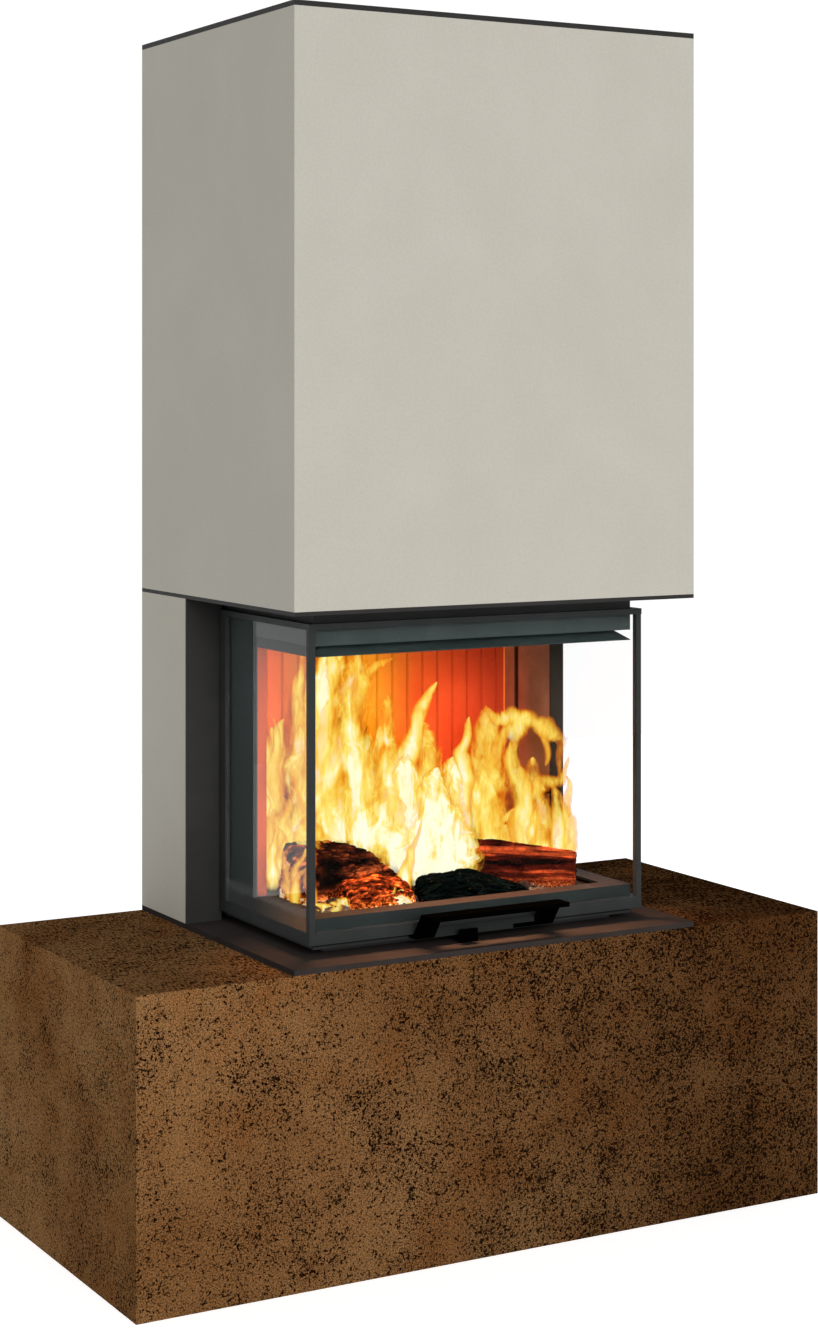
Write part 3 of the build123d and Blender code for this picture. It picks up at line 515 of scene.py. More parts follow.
def runCables(name, node, look, moving, *sides):
    low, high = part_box(node)
    bm = bmesh.new()
    for side in sides:
        across = side * (high[0] - cable["radius"])
        middle = Vector((across, (low[1] + high[1]) / 2, (low[2] + high[2]) / 2))
        bmesh.ops.create_cone(
            bm, cap_ends=True, segments=cable["sides"], radius1=cable["radius"], radius2=cable["radius"],
            depth=high[2] - low[2], matrix=Matrix.Translation(middle),
        )
    piece = addPiece(name, bm, None, look, slot="wire_rope")
    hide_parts(node)
    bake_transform(piece, "stove", moving, start=(0, middle.y, high[2]), end=(0, middle.y, low[2]))


ropeLook = cableLook()
dress(ropeLook, "cable_bends")
runCables("doorCables", "door_cables", ropeLook, "door", -1, 1)
runCables("rightWeightCable", "weight_cables", ropeLook, "right_counterweight", 1)
runCables("leftWeightCable", "weight_cables", ropeLook, "left_counterweight", -1)
print("lift cables done")


# burning logs: the CAD wedges, remeshed evenly and charred

ashBed = {
    "x": (-0.25, 0.25), "y": (-0.158, 0.138), "floor": 0.5052, "height": 0.008, "columns": 90, "rows": 54,
    "lumps": 22, "level": 0.45, "rough": 0.5, "rim": 0.02, "sunk": 0.0001, "cover": 0.0002,
    "heap": 0.012, "heapSpot": (-0.2, -0.135), "heapReach": (0.06, 0.03),
}

firewood = {  # shades from dark to light, height at the left end, in the middle and at the right end
    "right_log": {
        "yaw": -34, "seed": 3, "scale": 64, "stretch": (0.06, 1, 1), "glow": 0.25,
        "height": (1.22, 1.14, 1.0), "cracks": 0.35, "square": 0.3,
        "shades": (tone(6, 6, 6), tone(66, 19, 11), tone(206, 88, 44)),
    },
    "front_log": {
        "yaw": -5, "seed": 11, "scale": 90, "stretch": (0.3, 1, 1), "glow": 1.0,
        "height": (0.66, 0.86, 0.24), "warm": 0.0, "sparks": 0.9,
        "shades": (tone(1, 3, 3), tone(3, 7, 7), tone(8, 15, 15)),
    },
    "left_log": {
        "yaw": 8, "seed": 23, "scale": 70, "stretch": (0.2, 1, 1), "glow": 0.6,
        "height": (1.0, 1.0, 0.92), "hollow": (-0.172, 0.547), "hotEnd": (-0.2, -0.24),
        "shades": (tone(3, 6, 6), tone(60, 26, 14), tone(176, 88, 46)),
    },
    "ember_log": {
        "yaw": 3, "seed": 31, "scale": 130, "stretch": (0.4, 1, 1), "glow": 1.15,
        "height": (0.8, 1.0, 0.8),
        "shades": (tone(14, 5, 3), tone(96, 36, 14), tone(198, 96, 40)),
    },
}
char = {
    "merge": 0.00002, "voxel": 0.0022, "smoothing": 0.5, "drift": (1.7, 0.9, 0.0), "hotFoot": 0.024,
    "crackDepth": 0.003, "crackWidth": 0.16, "barkDepth": 0.003, "barkLevel": 0.6,
    "hollowSize": (0.035, 0.026), "hollowDepth": 0.022, "hollowDark": 1.6,
    "roundEnd": 0.07, "endShrink": 0.22,
    "blocks": (48, 105, 105), "bark": (25, 110, 110), "patch": 18, "ash": 230,
    "ashColour": tone(150, 122, 96),
    "glow": (
        (0.0, grey(0)), (0.2, tone(92, 28, 6)), (0.45, tone(198, 84, 22)), (0.7, tone(252, 168, 72)),
        (1.0, tone(255, 238, 190)),
    ),
}


def logLook(name, setup):
    look, tree, shader = newLook(name, specular=0.0)
    turn = (0, 0, math.radians(-setup["yaw"]))
    dark, middle, light = setup["shades"]
    fibre = grain(tree, setup["scale"], detail=5, roughness=0.62, stretch=setup["stretch"], turn=turn)
    patch = grain(tree, char["patch"], detail=4, roughness=0.6, shift=(setup["seed"], 0, 0))
    ash = grain(tree, char["ash"], detail=3, roughness=0.7, shift=(0, setup["seed"], 0))
    crack = stored(tree, "crack")
    spot = axes(tree)
    colour = ramp(tree, fibre, (0.38, dark), (0.52, middle), (0.68, light))
    colour = blendColours(tree, span(tree, patch, 0.5, 0.68, 0.0, 0.75), colour, dark)
    colour = blendColours(tree, calc(tree, "MULTIPLY", crack, 0.9), colour, dark)
    colour = blendColours(tree, span(tree, ash, 0.7, 0.76, 0.0, 0.5), colour, char["ashColour"])
    tree.links.new(colour, shader.inputs["Base Color"])
    tree.links.new(span(tree, fibre, 0.3, 0.7, 0.95, 0.75), shader.inputs["Roughness"])
    foot = span(tree, spot["Z"], ashBed["floor"], ashBed["floor"] + char["hotFoot"], 1.0, 0.0)
    heat = calc(tree, "ADD", span(tree, fibre, 0.48, 0.7, 0.0, 0.65), span(tree, ash, 0.52, 0.72, 0.0, 0.3))
    heat = calc(tree, "MULTIPLY", heat, span(tree, patch, 0.62, 0.4, 0.2, 1.0))
    heat = calc(tree, "MULTIPLY", heat, span(tree, crack, 0.0, 1.0, 1.0, 0.05))
    if "hotEnd" in setup:
        end = span(tree, spot["X"], *setup["hotEnd"], 0.0, 1.0)
        heat = calc(tree, "ADD", heat, calc(tree, "MULTIPLY", end, span(tree, fibre, 0.42, 0.62, 0.0, 0.9)))
    heat = calc(tree, "ADD", heat, calc(tree, "MULTIPLY", foot, span(tree, ash, 0.4, 0.62, 0.0, 1.0)))
    heat = calc(tree, "MULTIPLY", heat, setup.get("warm", 1.0))
    heat = calc(tree, "ADD", heat, span(tree, ash, 0.7, 0.74, 0.0, setup.get("sparks", 0.0)))
    tree.links.new(ramp(tree, heat, *char["glow"]), shader.inputs["Emission Color"])
    shader.inputs["Emission Strength"].default_value = setup["glow"]
    emboss(tree, shader, calc(tree, "SUBTRACT", fibre, crack), 0.5, 0.0018)
    return look


def bell(x, y, spot, reach):  # 1 at the spot, fading all round
    return math.exp(-((x - spot[0]) / reach[0]) ** 2 - ((y - spot[1]) / reach[1]) ** 2)


def evenCopy(name):  # a merged copy of a CAD node with even faces
    bm = bmesh.new()
    bm.from_mesh(nodes[name].data)
    bmesh.ops.remove_doubles(bm, verts=bm.verts, dist=char["merge"])
    mesh = bpy.data.meshes.new("copy")
    bm.to_mesh(mesh)
    bm.free()
    carrier = bpy.data.objects.new("copy", mesh)
    scene.collection.objects.link(carrier)
    even = carrier.modifiers.new("even", "REMESH")
    even.mode = "VOXEL"
    even.voxel_size = char["voxel"]
    graph = bpy.context.evaluated_depsgraph_get()
    smooth = bmesh.new()
    smooth.from_mesh(carrier.evaluated_get(graph).to_mesh())
    bpy.data.objects.remove(carrier)
    bpy.data.meshes.remove(mesh)
    return smooth


def scaled(spot, factors):
    return Vector([part * factor for part, factor in zip(spot, factors)])


def burn(name, setup):
    bm = evenCopy(name)
    bmesh.ops.smooth_vert(
        bm, verts=bm.verts, factor=char["smoothing"], use_axis_x=True, use_axis_y=True, use_axis_z=True,
    )
    bm.normal_update()
    crack = bm.verts.layers.float.new("crack")
    straight = Matrix.Rotation(math.radians(-setup["yaw"]), 3, "Z")
    offset = Vector([setup["seed"] * step for step in char["drift"]])
    turned = [straight @ vert.co for vert in bm.verts]
    start, end = min(spot.x for spot in turned), max(spot.x for spot in turned)
    core = sum(turned, Vector()) / len(turned)
    left, middle, right = setup["height"]
    for vert, spot in zip(bm.verts, turned):
        nearest, second = noise.voronoi(scaled(spot, char["blocks"]) + offset)[0][:2]
        gap = max(0.0, 1 - (second - nearest) / char["crackWidth"])
        rough = noise.fractal(scaled(spot, char["bark"]) + offset, 1.0, 2.0, 3)
        sunk = 0.0
        if "hollow" in setup and vert.normal.y < 0:  # burnt out in front
            sunk = bell(vert.co.x, vert.co.z, setup["hollow"], char["hollowSize"])
        gap *= setup.get("cracks", 1.0)
        vert[crack] = max(gap, min(1.0, char["hollowDark"] * sunk))
        share = (spot.x - start) / (end - start)
        full = min(1.0, min(share, 1 - share) / char["roundEnd"])
        full = 1 - (1 - full) * setup.get("square", 1.0)
        slim = 1 - char["endShrink"] * (1 - full) ** 2  # rounded ends
        tall = middle + ((left if share < 0.5 else right) - middle) * abs(2 * share - 1)
        spot.y = core.y + (spot.y - core.y) * slim
        spot.z = ashBed["floor"] + (spot.z - ashBed["floor"]) * tall * slim
        vert.co = straight.transposed() @ spot
        bark = char["barkDepth"] * (char["barkLevel"] + rough)
        vert.co -= vert.normal * (char["crackDepth"] * gap + bark)
        vert.co.y += char["hollowDepth"] * sunk
    title = name.replace("_log", "Log")
    piece = addPiece(title, bm, "stove", logLook(title, setup), slot="firewood")
    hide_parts(name)


for logName, logSetup in firewood.items():
    burn(logName, logSetup)
print("logs done")


# ash bed and glowing coals on the floor bricks

hotSpots = (((-0.14, -0.11), (0.13, 0.1), 1.15), ((0.02, -0.02), (0.1, 0.09), 0.9))  # place, reach, heat
leastHeat = 0.1
ashFinish = {
    "flake": 220, "patch": 22, "strength": 1.5,
    "shades": ((0.3, tone(26, 22, 20)), (0.5, tone(62, 55, 50)), (0.7, tone(112, 104, 96))),
    "glow": (
        (0.0, grey(0)), (0.25, tone(170, 36, 5)), (0.5, tone(255, 146, 40)), (0.8, tone(255, 232, 160)),
    ),
}
coals = {
    "count": 230, "size": (0.005, 0.012), "seed": 8, "inset": 0.02, "frontInset": 0.012, "stray": 0.08,
    "width": (0.6, 0.9), "height": (0.45, 0.7), "lift": 0.35, "heat": (0.6, 1.25), "dent": 0.16,
    "turn": 6.28, "tip": 3.14, "crust": 240, "patch": 40, "strength": 1.7,
    "shades": ((0.35, tone(10, 8, 7)), (0.6, tone(44, 36, 32)), (0.75, tone(150, 142, 134))),
    "glow": (
        (0.0, tone(20, 2, 0)), (0.25, tone(196, 44, 6)), (0.5, tone(255, 140, 36)),
        (0.8, tone(255, 226, 150)),
    ),
}


def ashLook():
    look, tree, shader = newLook("ash", roughness=0.95, specular=0.1)
    flake = grain(tree, ashFinish["flake"], detail=5, roughness=0.7)
    patch = grain(tree, ashFinish["patch"], detail=4)
    tree.links.new(ramp(tree, flake, *ashFinish["shades"]), shader.inputs["Base Color"])
    embers = span(tree, flake, 0.35, 0.6, 0.25, 1.15)
    warmth = calc(tree, "MULTIPLY", span(tree, patch, 0.3, 0.55, 0.4, 1.0), embers)
    warmth = calc(tree, "MULTIPLY", warmth, stored(tree, "heat"))
    tree.links.new(ramp(tree, warmth, *ashFinish["glow"]), shader.inputs["Emission Color"])
    shader.inputs["Emission Strength"].default_value = ashFinish["strength"]
    emboss(tree, shader, flake, 0.6, 0.002)
    return look


def coalLook():
    look, tree, shader = newLook("glowingCoal", specular=0.2)
    crust = grain(tree, coals["crust"], detail=5, roughness=0.7)
    patch = grain(tree, coals["patch"], detail=3)
    tree.links.new(ramp(tree, crust, *coals["shades"]), shader.inputs["Base Color"])
    tree.links.new(span(tree, crust, 0.3, 0.7, 0.95, 0.8), shader.inputs["Roughness"])
    embers = span(tree, crust, 0.7, 0.4, 0.1, 1.2)
    heat = calc(tree, "MULTIPLY", embers, span(tree, patch, 0.3, 0.55, 0.4, 1.0))
    heat = calc(tree, "MULTIPLY", heat, stored(tree, "heat"))
    tree.links.new(ramp(tree, heat, *coals["glow"]), shader.inputs["Emission Color"])
    shader.inputs["Emission Strength"].default_value = coals["strength"]
    emboss(tree, shader, crust, 0.6, 0.002)
    return look


def heatAt(x, y):  # hottest at the front left and in the middle
    return min(1.0, sum(heat * bell(x, y, spot, reach) for spot, reach, heat in hotSpots) + leastHeat)


def ashHeight(x, y):
    rim = min(x - ashBed["x"][0], ashBed["x"][1] - x, y - ashBed["y"][0], ashBed["y"][1] - y)
    lump = noise.fractal(Vector((x * ashBed["lumps"], y * ashBed["lumps"], 4)), 1.0, 2.0, 4)
    lift = ashBed["level"] + ashBed["rough"] * lump
    heap = ashBed["heap"] * bell(x, y, ashBed["heapSpot"], ashBed["heapReach"])
    return ashBed["floor"] + (ashBed["height"] * max(0.0, lift) + heap) * min(1.0, rim / ashBed["rim"])


def layAsh():
    bm = bmesh.new()
    (left, right), (front, back) = ashBed["x"], ashBed["y"]
    middle = Vector(((left + right) / 2, (front + back) / 2, ashBed["floor"]))
    shape = Matrix.Translation(middle) @ Matrix.Diagonal(((right - left) / 2, (back - front) / 2, 1, 1))
    bmesh.ops.create_grid(bm, x_segments=ashBed["columns"], y_segments=ashBed["rows"], size=1, matrix=shape)
    heat = bm.verts.layers.float.new("heat")
    top = list(bm.verts)
    under = bmesh.ops.extrude_face_region(bm, geom=bm.faces[:])
    for vert in top:
        vert.co.z = ashBed["floor"] - ashBed["sunk"]
    for vert in [part for part in under["geom"] if isinstance(part, bmesh.types.BMVert)]:
        vert.co.z = ashHeight(vert.co.x, vert.co.y) + ashBed["cover"]
    for vert in bm.verts:
        vert[heat] = heatAt(vert.co.x, vert.co.y)
    bmesh.ops.recalc_face_normals(bm, faces=bm.faces)
    addPiece("ashBed", bm, "stove", ashLook())


def layCoals():
    pick = random.Random(coals["seed"])
    bm = bmesh.new()
    heat = bm.verts.layers.float.new("heat")
    laid = 0
    while laid < coals["count"]:
        x = pick.uniform(ashBed["x"][0] + coals["inset"], ashBed["x"][1] - coals["inset"])
        y = pick.uniform(ashBed["y"][0] + coals["frontInset"], ashBed["y"][1] - coals["inset"])
        if pick.random() > heatAt(x, y) + coals["stray"]:
            continue
        laid += 1
        size = pick.uniform(*coals["size"])
        turn = Matrix.Rotation(pick.uniform(0, coals["turn"]), 4, "Z")
        turn = turn @ Matrix.Rotation(pick.uniform(0, coals["tip"]), 4, "X")
        wide = size * pick.uniform(*coals["width"])
        tall = size * pick.uniform(*coals["height"])
        shape = Matrix.Diagonal((size, wide, tall, 1))
        spot = Matrix.Translation((x, y, ashHeight(x, y) + size * coals["lift"]))
        lump = bmesh.ops.create_icosphere(bm, subdivisions=1, radius=1, matrix=spot @ turn @ shape)
        for vert in lump["verts"]:
            vert[heat] = min(1.0, heatAt(x, y) * pick.uniform(*coals["heat"]))
            vert.co += Vector([pick.uniform(-1, 1) for axis in "xyz"]) * size * coals["dent"]
    addPiece("coals", bm, "stove", coalLook(), smooth=False)


layAsh()
layCoals()
print("ash and coals done")


# flames: closed tongues, brighter inside, thinner towards edge and tip

flames = {
    "layers": ("rise", "angle", "edge", "hot", "torn"),
    "sides": 16, "levels": 30, "seed": 5, "ceiling": 0.893, "turn": -29, "depth": 0.5, "sway": 0.016,
    "ragged": 0.12, "softEdge": 0.55, "fuller": 1.28, "swell": 0.35, "cooling": 0.5, "thick": 0.74,
    "wispSize": 20, "wisps": 2.3, "streakSize": 62, "streaks": 1.2, "brightness": (0.85, 1.18),
    "edgePower": 2.2, "fullHeat": 1.3, "lost": 0.22, "shadeScale": 0.6, "rootSpan": (0.0, 0.15, 0.1, 1.0),
    "foot": 0.55, "footEnd": 0.25, "point": 0.005, "taper": 0.55, "step": 0.02, "heatSpread": (0.92, 1.08),
    "torn": (1.0, 0.85, 0.8),  # how far sheets, tongues and wild fire are torn
    "shades": (
        (0.0, tone(224, 74, 12)), (0.2, tone(246, 134, 26)), (0.42, tone(252, 192, 56)),
        (0.68, tone(252, 228, 108)), (1.0, tone(252, 249, 218)),
    ),
}


def flameLine(y, wide, hot, *line, **more):  # depth, half the width, heat, then x and z from root to tip
    return dict(more, y=y, wide=wide, hot=hot, line=line)


sheets = [  # broad bodies that the noise tears into wisps
    flameLine(0.07, 0.09, 1.5, (-0.12, 0.53), (-0.12, 0.66), (-0.115, 0.79), (-0.1, 0.96)),
    flameLine(0.05, 0.05, 1.65, (-0.14, 0.6), (-0.142, 0.72), (-0.138, 0.83), (-0.13, 0.97)),
    flameLine(0.04, 0.085, 1.45, (-0.095, 0.54), (-0.1, 0.64), (-0.09, 0.73), (-0.07, 0.88)),
    flameLine(0.01, 0.07, 1.4, (-0.06, 0.54), (-0.055, 0.61), (-0.05, 0.68), (-0.04, 0.81)),
    flameLine(0.03, 0.095, 1.5, (0.02, 0.52), (0.02, 0.59), (0.025, 0.65), (0.03, 0.76)),
    flameLine(0.03, 0.065, 1.2, (0.14, 0.54), (0.14, 0.61), (0.145, 0.68), (0.15, 0.78)),
    flameLine(-0.03, 0.05, 1.25, (0.2, 0.53), (0.205, 0.58), (0.21, 0.63), (0.21, 0.7)),
    flameLine(0.1, 0.05, 1.1, (-0.2, 0.52), (-0.2, 0.57), (-0.2, 0.63), (-0.205, 0.76)),
    flameLine(-0.05, 0.07, 2.4, (0.02, 0.51), (0.02, 0.57), (0.015, 0.62), (0.01, 0.7)),
    flameLine(-0.02, 0.06, 2.3, (0.05, 0.52), (0.05, 0.57), (0.055, 0.62), (0.06, 0.71)),
    flameLine(-0.02, 0.06, 2.15, (-0.02, 0.53), (-0.02, 0.58), (-0.02, 0.63), (-0.025, 0.72)),
]
tongues = [  # sharper flames
    flameLine(
        0.03, 0.032, 1.2, (-0.13, 0.55), (-0.14, 0.66), (-0.135, 0.745), (-0.13, 0.83), (-0.136, 0.89),
    ),
    flameLine(
        0.04, 0.03, 1.1, (-0.085, 0.55), (-0.095, 0.645), (-0.1, 0.71), (-0.09, 0.77), (-0.07, 0.84),
        (-0.02, 0.865),
    ),
    flameLine(
        0.02, 0.03, 1.15, (-0.06, 0.55), (-0.072, 0.63), (-0.086, 0.69), (-0.09, 0.75), (-0.09, 0.79),
    ),
    flameLine(
        0.06, 0.034, 1.1, (-0.135, 0.55), (-0.135, 0.69), (-0.13, 0.77), (-0.125, 0.85), (-0.105, 0.89),
    ),
    flameLine(
        0.0, 0.028, 1.75, (-0.03, 0.56), (-0.038, 0.65), (-0.02, 0.7), (0.0, 0.75), (0.02, 0.79),
        (0.042, 0.828), torn=0.45,
    ),
    flameLine(-0.01, 0.024, 1.3, (-0.07, 0.56), (-0.06, 0.62), (-0.035, 0.66), (-0.02, 0.71)),
    flameLine(0.02, 0.022, 1.35, (0.035, 0.6), (0.034, 0.67), (0.04, 0.71), (0.046, 0.745)),
    flameLine(
        -0.02, 0.024, 1.75, (0.075, 0.55), (0.076, 0.65), (0.079, 0.7), (0.083, 0.73), (0.092, 0.772),
        torn=0.45,
    ),
    flameLine(0.02, 0.034, 1.15, (0.155, 0.55), (0.145, 0.61), (0.15, 0.66), (0.166, 0.705), (0.19, 0.755)),
    flameLine(-0.03, 0.03, 1.25, (0.19, 0.55), (0.19, 0.62), (0.174, 0.667), (0.168, 0.71), (0.178, 0.77)),
    flameLine(
        -0.03, 0.024, 1.05, (0.164, 0.73), (0.185, 0.757), (0.21, 0.758), (0.23, 0.735), (0.226, 0.685),
    ),
    flameLine(-0.03, 0.02, 1.15, (0.2, 0.758), (0.165, 0.77), (0.138, 0.766), (0.108, 0.786)),
    flameLine(-0.035, 0.021, 1.0, (0.205, 0.757), (0.235, 0.742), (0.254, 0.72), (0.247, 0.665)),
    flameLine(-0.05, 0.018, 1.1, (0.198, 0.635), (0.21, 0.66), (0.24, 0.663), (0.259, 0.7)),
    flameLine(-0.05, 0.026, 1.5, (0.21, 0.54), (0.198, 0.59), (0.204, 0.635)),
    flameLine(-0.05, 0.024, 1.4, (0.236, 0.54), (0.245, 0.6), (0.228, 0.66)),
    flameLine(-0.055, 0.02, 1.3, (0.25, 0.53), (0.256, 0.6), (0.252, 0.67)),
    flameLine(
        0.08, 0.034, 1.5, (-0.16, 0.53), (-0.166, 0.62), (-0.156, 0.69), (-0.158, 0.77), (-0.16, 0.88),
    ),
    flameLine(0.1, 0.022, 1.1, (-0.205, 0.62), (-0.21, 0.7), (-0.22, 0.775)),
    flameLine(0.1, 0.02, 1.1, (-0.19, 0.62), (-0.192, 0.7), (-0.178, 0.772)),
    flameLine(0.11, 0.018, 1.0, (-0.225, 0.6), (-0.228, 0.66), (-0.222, 0.7), (-0.23, 0.75)),
    flameLine(-0.03, 0.012, 1.3, (-0.262, 0.53), (-0.264, 0.58), (-0.258, 0.63)),
    flameLine(-0.03, 0.012, 1.0, (-0.254, 0.66), (-0.261, 0.71), (-0.256, 0.76), (-0.263, 0.8)),
    flameLine(-0.1, 0.013, 1.4, (-0.073, 0.507), (-0.076, 0.54), (-0.064, 0.58), (-0.04, 0.63)),
]
wildKeys = ("count", "x", "y", "root", "tall", "wide", "lean", "hot")
wildFire = [dict(zip(wildKeys, row)) for row in (  # more tongues, laid out at random between these limits
    (9, (-0.15, -0.04), (0.02, 0.09), 0.53, (0.16, 0.3), (0.018, 0.034), (0.0, 0.03), 1.1),
    (8, (-0.24, -0.17), (0.05, 0.11), 0.53, (0.08, 0.14), (0.02, 0.032), (-0.01, 0.02), 1.3),
    (8, (-0.03, 0.1), (0.0, 0.08), 0.53, (0.1, 0.19), (0.016, 0.03), (0.0, 0.02), 1.25),
    (8, (0.1, 0.2), (0.0, 0.05), 0.53, (0.08, 0.17), (0.012, 0.022), (0.0, 0.03), 1.0),
    (10, (-0.2, 0.2), (0.0, 0.09), 0.51, (0.08, 0.13), (0.03, 0.05), (-0.01, 0.02), 1.4),
    (4, (-0.245, -0.22), (-0.1, -0.02), 0.508, (0.07, 0.12), (0.009, 0.015), (-0.01, 0.01), 0.9),
    (8, (-0.24, -0.09), (-0.145, -0.125), 0.506, (0.016, 0.032), (0.012, 0.02), (-0.01, 0.01), 1.6),
)]


def flameLook():
    look, tree, shader = newLook("flame", roughness=1.0, specular=0.0)
    shader.inputs["Base Color"].default_value = grey(0)
    rise = stored(tree, "rise")
    wisp = grain(tree, flames["wispSize"], detail=3, roughness=0.5, distortion=1.5, stretch=(1, 1, 0.5))
    streak = grain(
        tree, flames["streakSize"], detail=2.5, roughness=0.5, distortion=2.0, stretch=(1, 1, 0.2),
        shift=(3, 7, 1),
    )
    torn = calc(tree, "MULTIPLY", calc(tree, "SUBTRACT", wisp, 0.5), flames["wisps"])
    licked = calc(tree, "MULTIPLY", calc(tree, "SUBTRACT", streak, 0.5), flames["streaks"])
    torn = calc(tree, "MULTIPLY", calc(tree, "ADD", torn, licked), stored(tree, "torn"))
    body = calc(tree, "SUBTRACT", 1.0, calc(tree, "POWER", stored(tree, "edge"), flames["edgePower"]))
    full = calc(tree, "MULTIPLY", body, flames["fullHeat"])
    heat = calc(tree, "ADD", full, calc(tree, "SUBTRACT", torn, flames["lost"]))
    heat = calc(tree, "SUBTRACT", heat, calc(tree, "MULTIPLY", rise, flames["cooling"]))
    heat = calc(tree, "MULTIPLY", heat, stored(tree, "hot"))
    warmth = calc(tree, "MULTIPLY", heat, flames["shadeScale"])
    tree.links.new(ramp(tree, warmth, *flames["shades"]), shader.inputs["Emission Color"])
    tree.links.new(span(tree, heat, 0.0, 1.8, *flames["brightness"]), shader.inputs["Emission Strength"])
    root = span(tree, rise, *flames["rootSpan"])
    thick = calc(tree, "MULTIPLY", span(tree, heat, 0.0, 1.0, 0.0, flames["thick"]), root)
    inside = calc(tree, "DIVIDE", body, stored(tree, "torn"))
    fade = span(tree, inside, 0.0, flames["softEdge"], 0.0, 1.0)
    tree.links.new(calc(tree, "MULTIPLY", thick, fade), shader.inputs["Alpha"])
    return look


def along(points, share):  # smooth line through the points
    spot = share * (len(points) - 1)
    step = min(int(spot), len(points) - 2)
    t = spot - step
    before = points[max(step - 1, 0)]
    start, end = points[step], points[step + 1]
    after = points[min(step + 2, len(points) - 1)]
    line = []
    for a, b, c, d in zip(before, start, end, after):
        bend = (2 * a - 5 * b + 4 * c - d) * t * t
        twist = (3 * b - a - 3 * c + d) * t ** 3
        line.append(0.5 * (2 * b + (c - a) * t + bend + twist))
    return Vector(line)


def wildTongue(pick, limits):
    x = pick.uniform(*limits["x"])
    tall = pick.uniform(*limits["tall"])
    lean = pick.uniform(*limits["lean"])
    line = []
    for share in (0.0, 0.25, 0.5, 0.75, 1.0):
        sway = pick.uniform(-1, 1) * flames["sway"] * share
        line.append((x + lean * share + sway, min(flames["ceiling"], limits["root"] + tall * share)))
    return {
        "line": line, "y": pick.uniform(*limits["y"]), "wide": pick.uniform(*limits["wide"]),
        "hot": limits["hot"] * pick.uniform(*flames["heatSpread"]),
    }


def bareTongue():  # a straight tube that every tongue starts from
    bm = bmesh.new()
    rise = bm.verts.layers.float.new("rise")
    bearing = bm.verts.layers.float.new("angle")
    raised = Matrix.Translation((0, 0, 0.5))
    bmesh.ops.create_cone(
        bm, cap_ends=True, segments=flames["sides"], radius1=1, radius2=1, depth=1, matrix=raised,
    )
    upright = [side for side in bm.edges if abs(side.verts[0].co.z - side.verts[1].co.z) > 0.5]
    bmesh.ops.subdivide_edges(bm, edges=upright, cuts=flames["levels"] - 1, use_grid_fill=True)
    for vert in bm.verts:
        vert[rise] = vert.co.z
        vert[bearing] = math.atan2(vert.co.y, vert.co.x)
    mesh = bpy.data.meshes.new("bareTongue")
    bm.to_mesh(mesh)
    bm.free()
    return mesh


def addTongue(bm, tube, tongue, salt):
    turn = math.radians(flames["turn"])
    across = Vector((math.cos(turn), math.sin(turn), 0))
    away = Vector((-across.y, across.x, 0)) * flames["depth"]
    points = [(x, tongue["y"], min(z, flames["ceiling"])) for x, z in tongue["line"]]
    laid = len(bm.verts)
    bm.from_mesh(tube)
    bm.verts.ensure_lookup_table()
    rise, turned, edge, hot, ragged = [bm.verts.layers.float[name] for name in flames["layers"]]
    for vert in bm.verts[laid:]:
        share, angle = vert[rise], vert[turned]
        flow = Vector((salt * 3.1, salt * 1.7, share * 4))  # every tongue has noise of its own
        stir = Vector((noise.noise(flow), 0.6 * noise.noise(flow + Vector((9, 0, 0))), 0))
        swell = 1 + flames["swell"] * noise.noise(Vector((salt * 5.3, 2, share * 6)))
        tear = noise.noise(Vector((salt * 7.7, math.cos(angle) * 2, share * 16)))
        torn = 1 + flames["ragged"] * tongue["torn"] * tear
        foot = flames["foot"] + (1 - flames["foot"]) * min(1.0, share / flames["footEnd"])
        tip = max(flames["point"], 1 - share) ** flames["taper"]
        size = flames["fuller"] * tongue["wide"] * foot * tip * swell * torn
        start, end = max(0.0, share - flames["step"]), min(1.0, share + flames["step"])
        ahead = along(points, end) - along(points, start)
        climb = Vector((ahead.dot(across), ahead.z)).normalized()
        side = across * climb.y - Vector((0, 0, climb.x))  # square to the tongue's own line
        reach = side * math.cos(angle) + away * math.sin(angle)
        vert.co = along(points, share) + stir * flames["sway"] * share + reach * size
        vert[edge] = abs(math.cos(angle))
        vert[hot] = tongue["hot"]
        vert[ragged] = tongue["torn"]


def lightFlames():
    pick = random.Random(flames["seed"])
    wild = [wildTongue(pick, limits) for limits in wildFire for turn in range(limits["count"])]
    tube = bareTongue()
    bm = bmesh.new()
    for name in flames["layers"]:
        bm.verts.layers.float.new(name)
    number = 0
    for torn, group in zip(flames["torn"], (sheets, tongues, wild)):
        for tongue in group:
            number += 1
            addTongue(bm, tube, dict({"torn": torn}, **tongue), number)
    bpy.data.meshes.remove(tube)
    addPiece("flames", bm, "stove", flameLook())


lightFlames()
print("flames done")


# studio

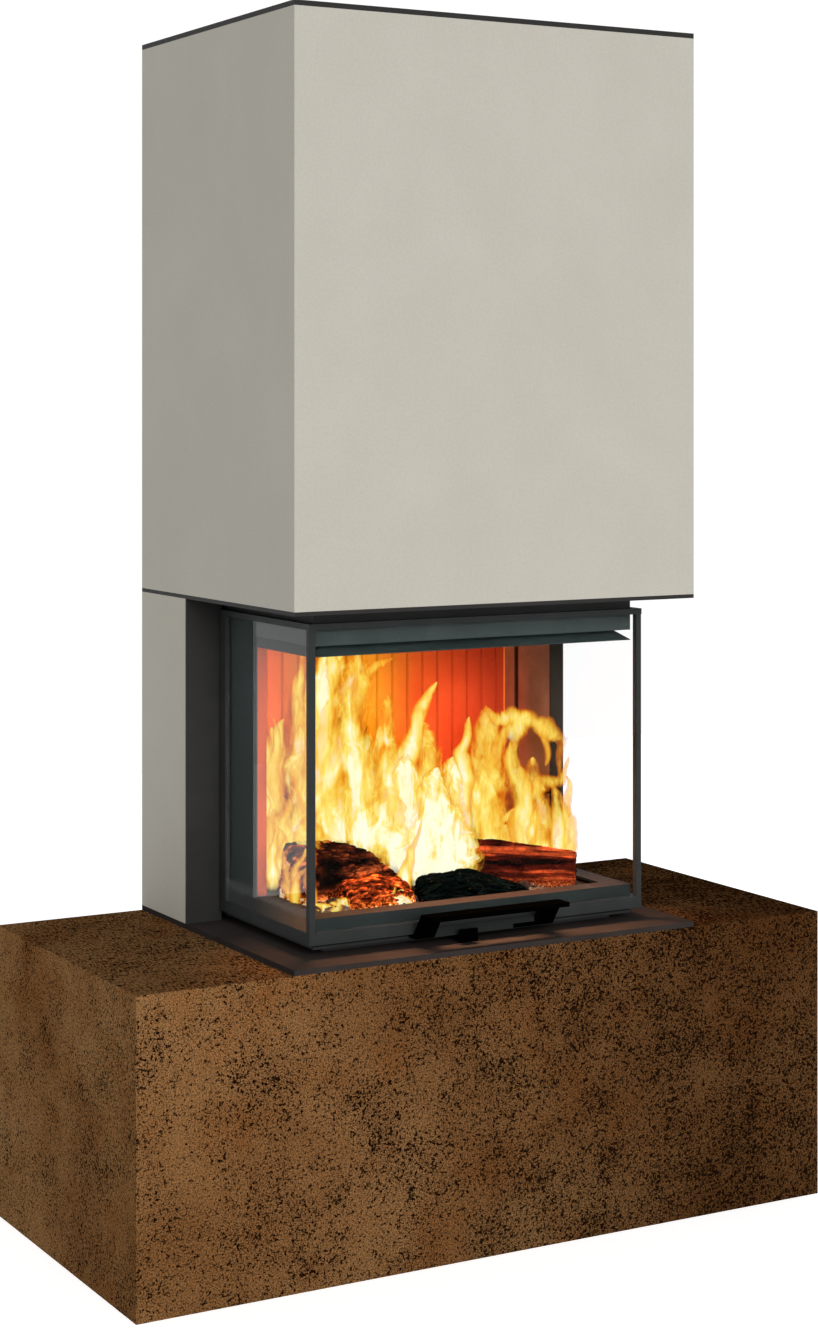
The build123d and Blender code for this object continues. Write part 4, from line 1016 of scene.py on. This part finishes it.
studio = {
    "floorSize": 9.0, "floorColour": (0.86, 0.86, 0.85, 1), "mottle": 3, "floorDim": 0.985,
    "floorLift": 0.6, "ambient": 0.5, "backdrop": 1.04, "softLamp": 0.05,
    "keyStrength": 1.75, "keyFrom": (-0.2, -0.93, 0.32), "keyAngle": 35,
}
fireLamps = [  # warm light on the back lining, on the logs, and out on the hearth
    {
        "kind": "AREA", "spot": (-0.1, 0.06, 0.7), "aim": (-0.1, 1, 0.7), "size": (0.26, 0.34),
        "power": 1.0, "colour": (1.0, 0.95, 0.06),
    },
    {
        "kind": "AREA", "spot": (0.13, 0.06, 0.68), "aim": (0.13, 1, 0.68), "size": (0.18, 0.3),
        "power": 0.46, "colour": (1.0, 0.05, 0.05),
    },
    {
        "kind": "AREA", "spot": (-0.21, 0.08, 0.7), "aim": (-0.21, 1, 0.7), "size": (0.08, 0.34),
        "power": 0.3, "colour": (1.0, 0.22, 0.1),
    },
    {"kind": "POINT", "spot": (-0.13, -0.06, 0.64), "power": 0.22, "colour": (1.0, 0.45, 0.15)},
    {"kind": "POINT", "spot": (0.04, -0.07, 0.61), "power": 0.25, "colour": (1.0, 0.45, 0.15)},
    {"kind": "POINT", "spot": (0.21, -0.05, 0.66), "power": 0.2, "colour": (1.0, 0.4, 0.12)},
    {
        "kind": "AREA", "spot": (0.0, -0.1, 0.75), "aim": (0.0, -0.25, 0.463), "size": (0.46, 0.08),
        "spread": 95, "power": 2.7, "colour": (1.0, 0.5, 0.26),
    },
]
view = {
    "spot": (-1.9965, -3.5263, 1.2819), "turn": (90, 0, -29.418), "lens": 68.93, "sensor": 36,
    "shiftY": -0.2005,
}


def seenPlainly(tree):  # 1 for what the eye, a mirror or a pane shows
    path = addNode(tree, "LightPath")
    seen = calc(tree, "MAXIMUM", path.outputs["Is Camera Ray"], path.outputs["Is Transmission Ray"])
    return calc(tree, "MAXIMUM", seen, path.outputs["Is Glossy Ray"])


def turnTo(lamp, back):  # a lamp shines away from its back
    lamp.rotation_euler = Vector(back).to_track_quat("Z", "Y").to_euler()


def layFloor():
    bm = bmesh.new()
    bmesh.ops.create_grid(bm, x_segments=1, y_segments=1, size=studio["floorSize"] / 2)
    look, tree, shader = newLook("studioFloor", roughness=0.9, specular=0.1)
    mottle = grain(tree, studio["mottle"], detail=3)
    white = studio["floorColour"]
    colour = ramp(tree, mottle, (0.3, white), (0.7, shaded(white, studio["floorDim"])))
    tree.links.new(colour, shader.inputs["Base Color"])
    shader.inputs["Emission Color"].default_value = grey(1)
    lift = calc(tree, "MULTIPLY", seenPlainly(tree), studio["floorLift"])
    tree.links.new(lift, shader.inputs["Emission Strength"])
    floor = addPiece("studioFloor", bm, None, look, smooth=False)


def lightStudio():
    world = bpy.data.worlds.new("studio")
    scene.world = world
    world.use_nodes = True
    tree = world.node_tree
    light = tree.nodes["Background"]
    light.inputs["Color"].default_value = grey(1)
    level = span(tree, seenPlainly(tree), 0.0, 1.0, studio["ambient"], studio["backdrop"])
    tree.links.new(level, light.inputs["Strength"])
    key = bpy.data.lights.new("key", "SUN")
    key.energy = studio["keyStrength"]
    key.angle = math.radians(studio["keyAngle"])
    lamp = bpy.data.objects.new("key", key)
    turnTo(lamp, studio["keyFrom"])
    scene.collection.objects.link(lamp)
    for number, setup in enumerate(fireLamps):
        fire = bpy.data.lights.new("fireLight%d" % number, setup["kind"])
        fire.energy = setup["power"]
        fire.color = setup["colour"]
        glow = bpy.data.objects.new("fireLight%d" % number, fire)
        glow.location = setup["spot"]
        if setup["kind"] == "AREA":
            fire.shape = "RECTANGLE"
            fire.size, fire.size_y = setup["size"]
            fire.spread = math.radians(setup.get("spread", 180))
            turnTo(glow, Vector(setup["spot"]) - Vector(setup["aim"]))
        else:
            fire.shadow_soft_size = studio["softLamp"]
        glow.visible_camera = glow.visible_transmission = glow.visible_glossy = False
        scene.collection.objects.link(glow)


def setCamera():
    eye = bpy.data.cameras.new("camera")
    eye.lens = view["lens"]
    eye.sensor_width = view["sensor"]
    eye.sensor_fit = "AUTO"
    eye.shift_y = view["shiftY"]
    camera = bpy.data.objects.new("camera", eye)
    camera.location = view["spot"]
    camera.rotation_euler = [math.radians(angle) for angle in view["turn"]]
    scene.collection.objects.link(camera)
    scene.camera = camera


layFloor()
lightStudio()
setCamera()
print("studio done")
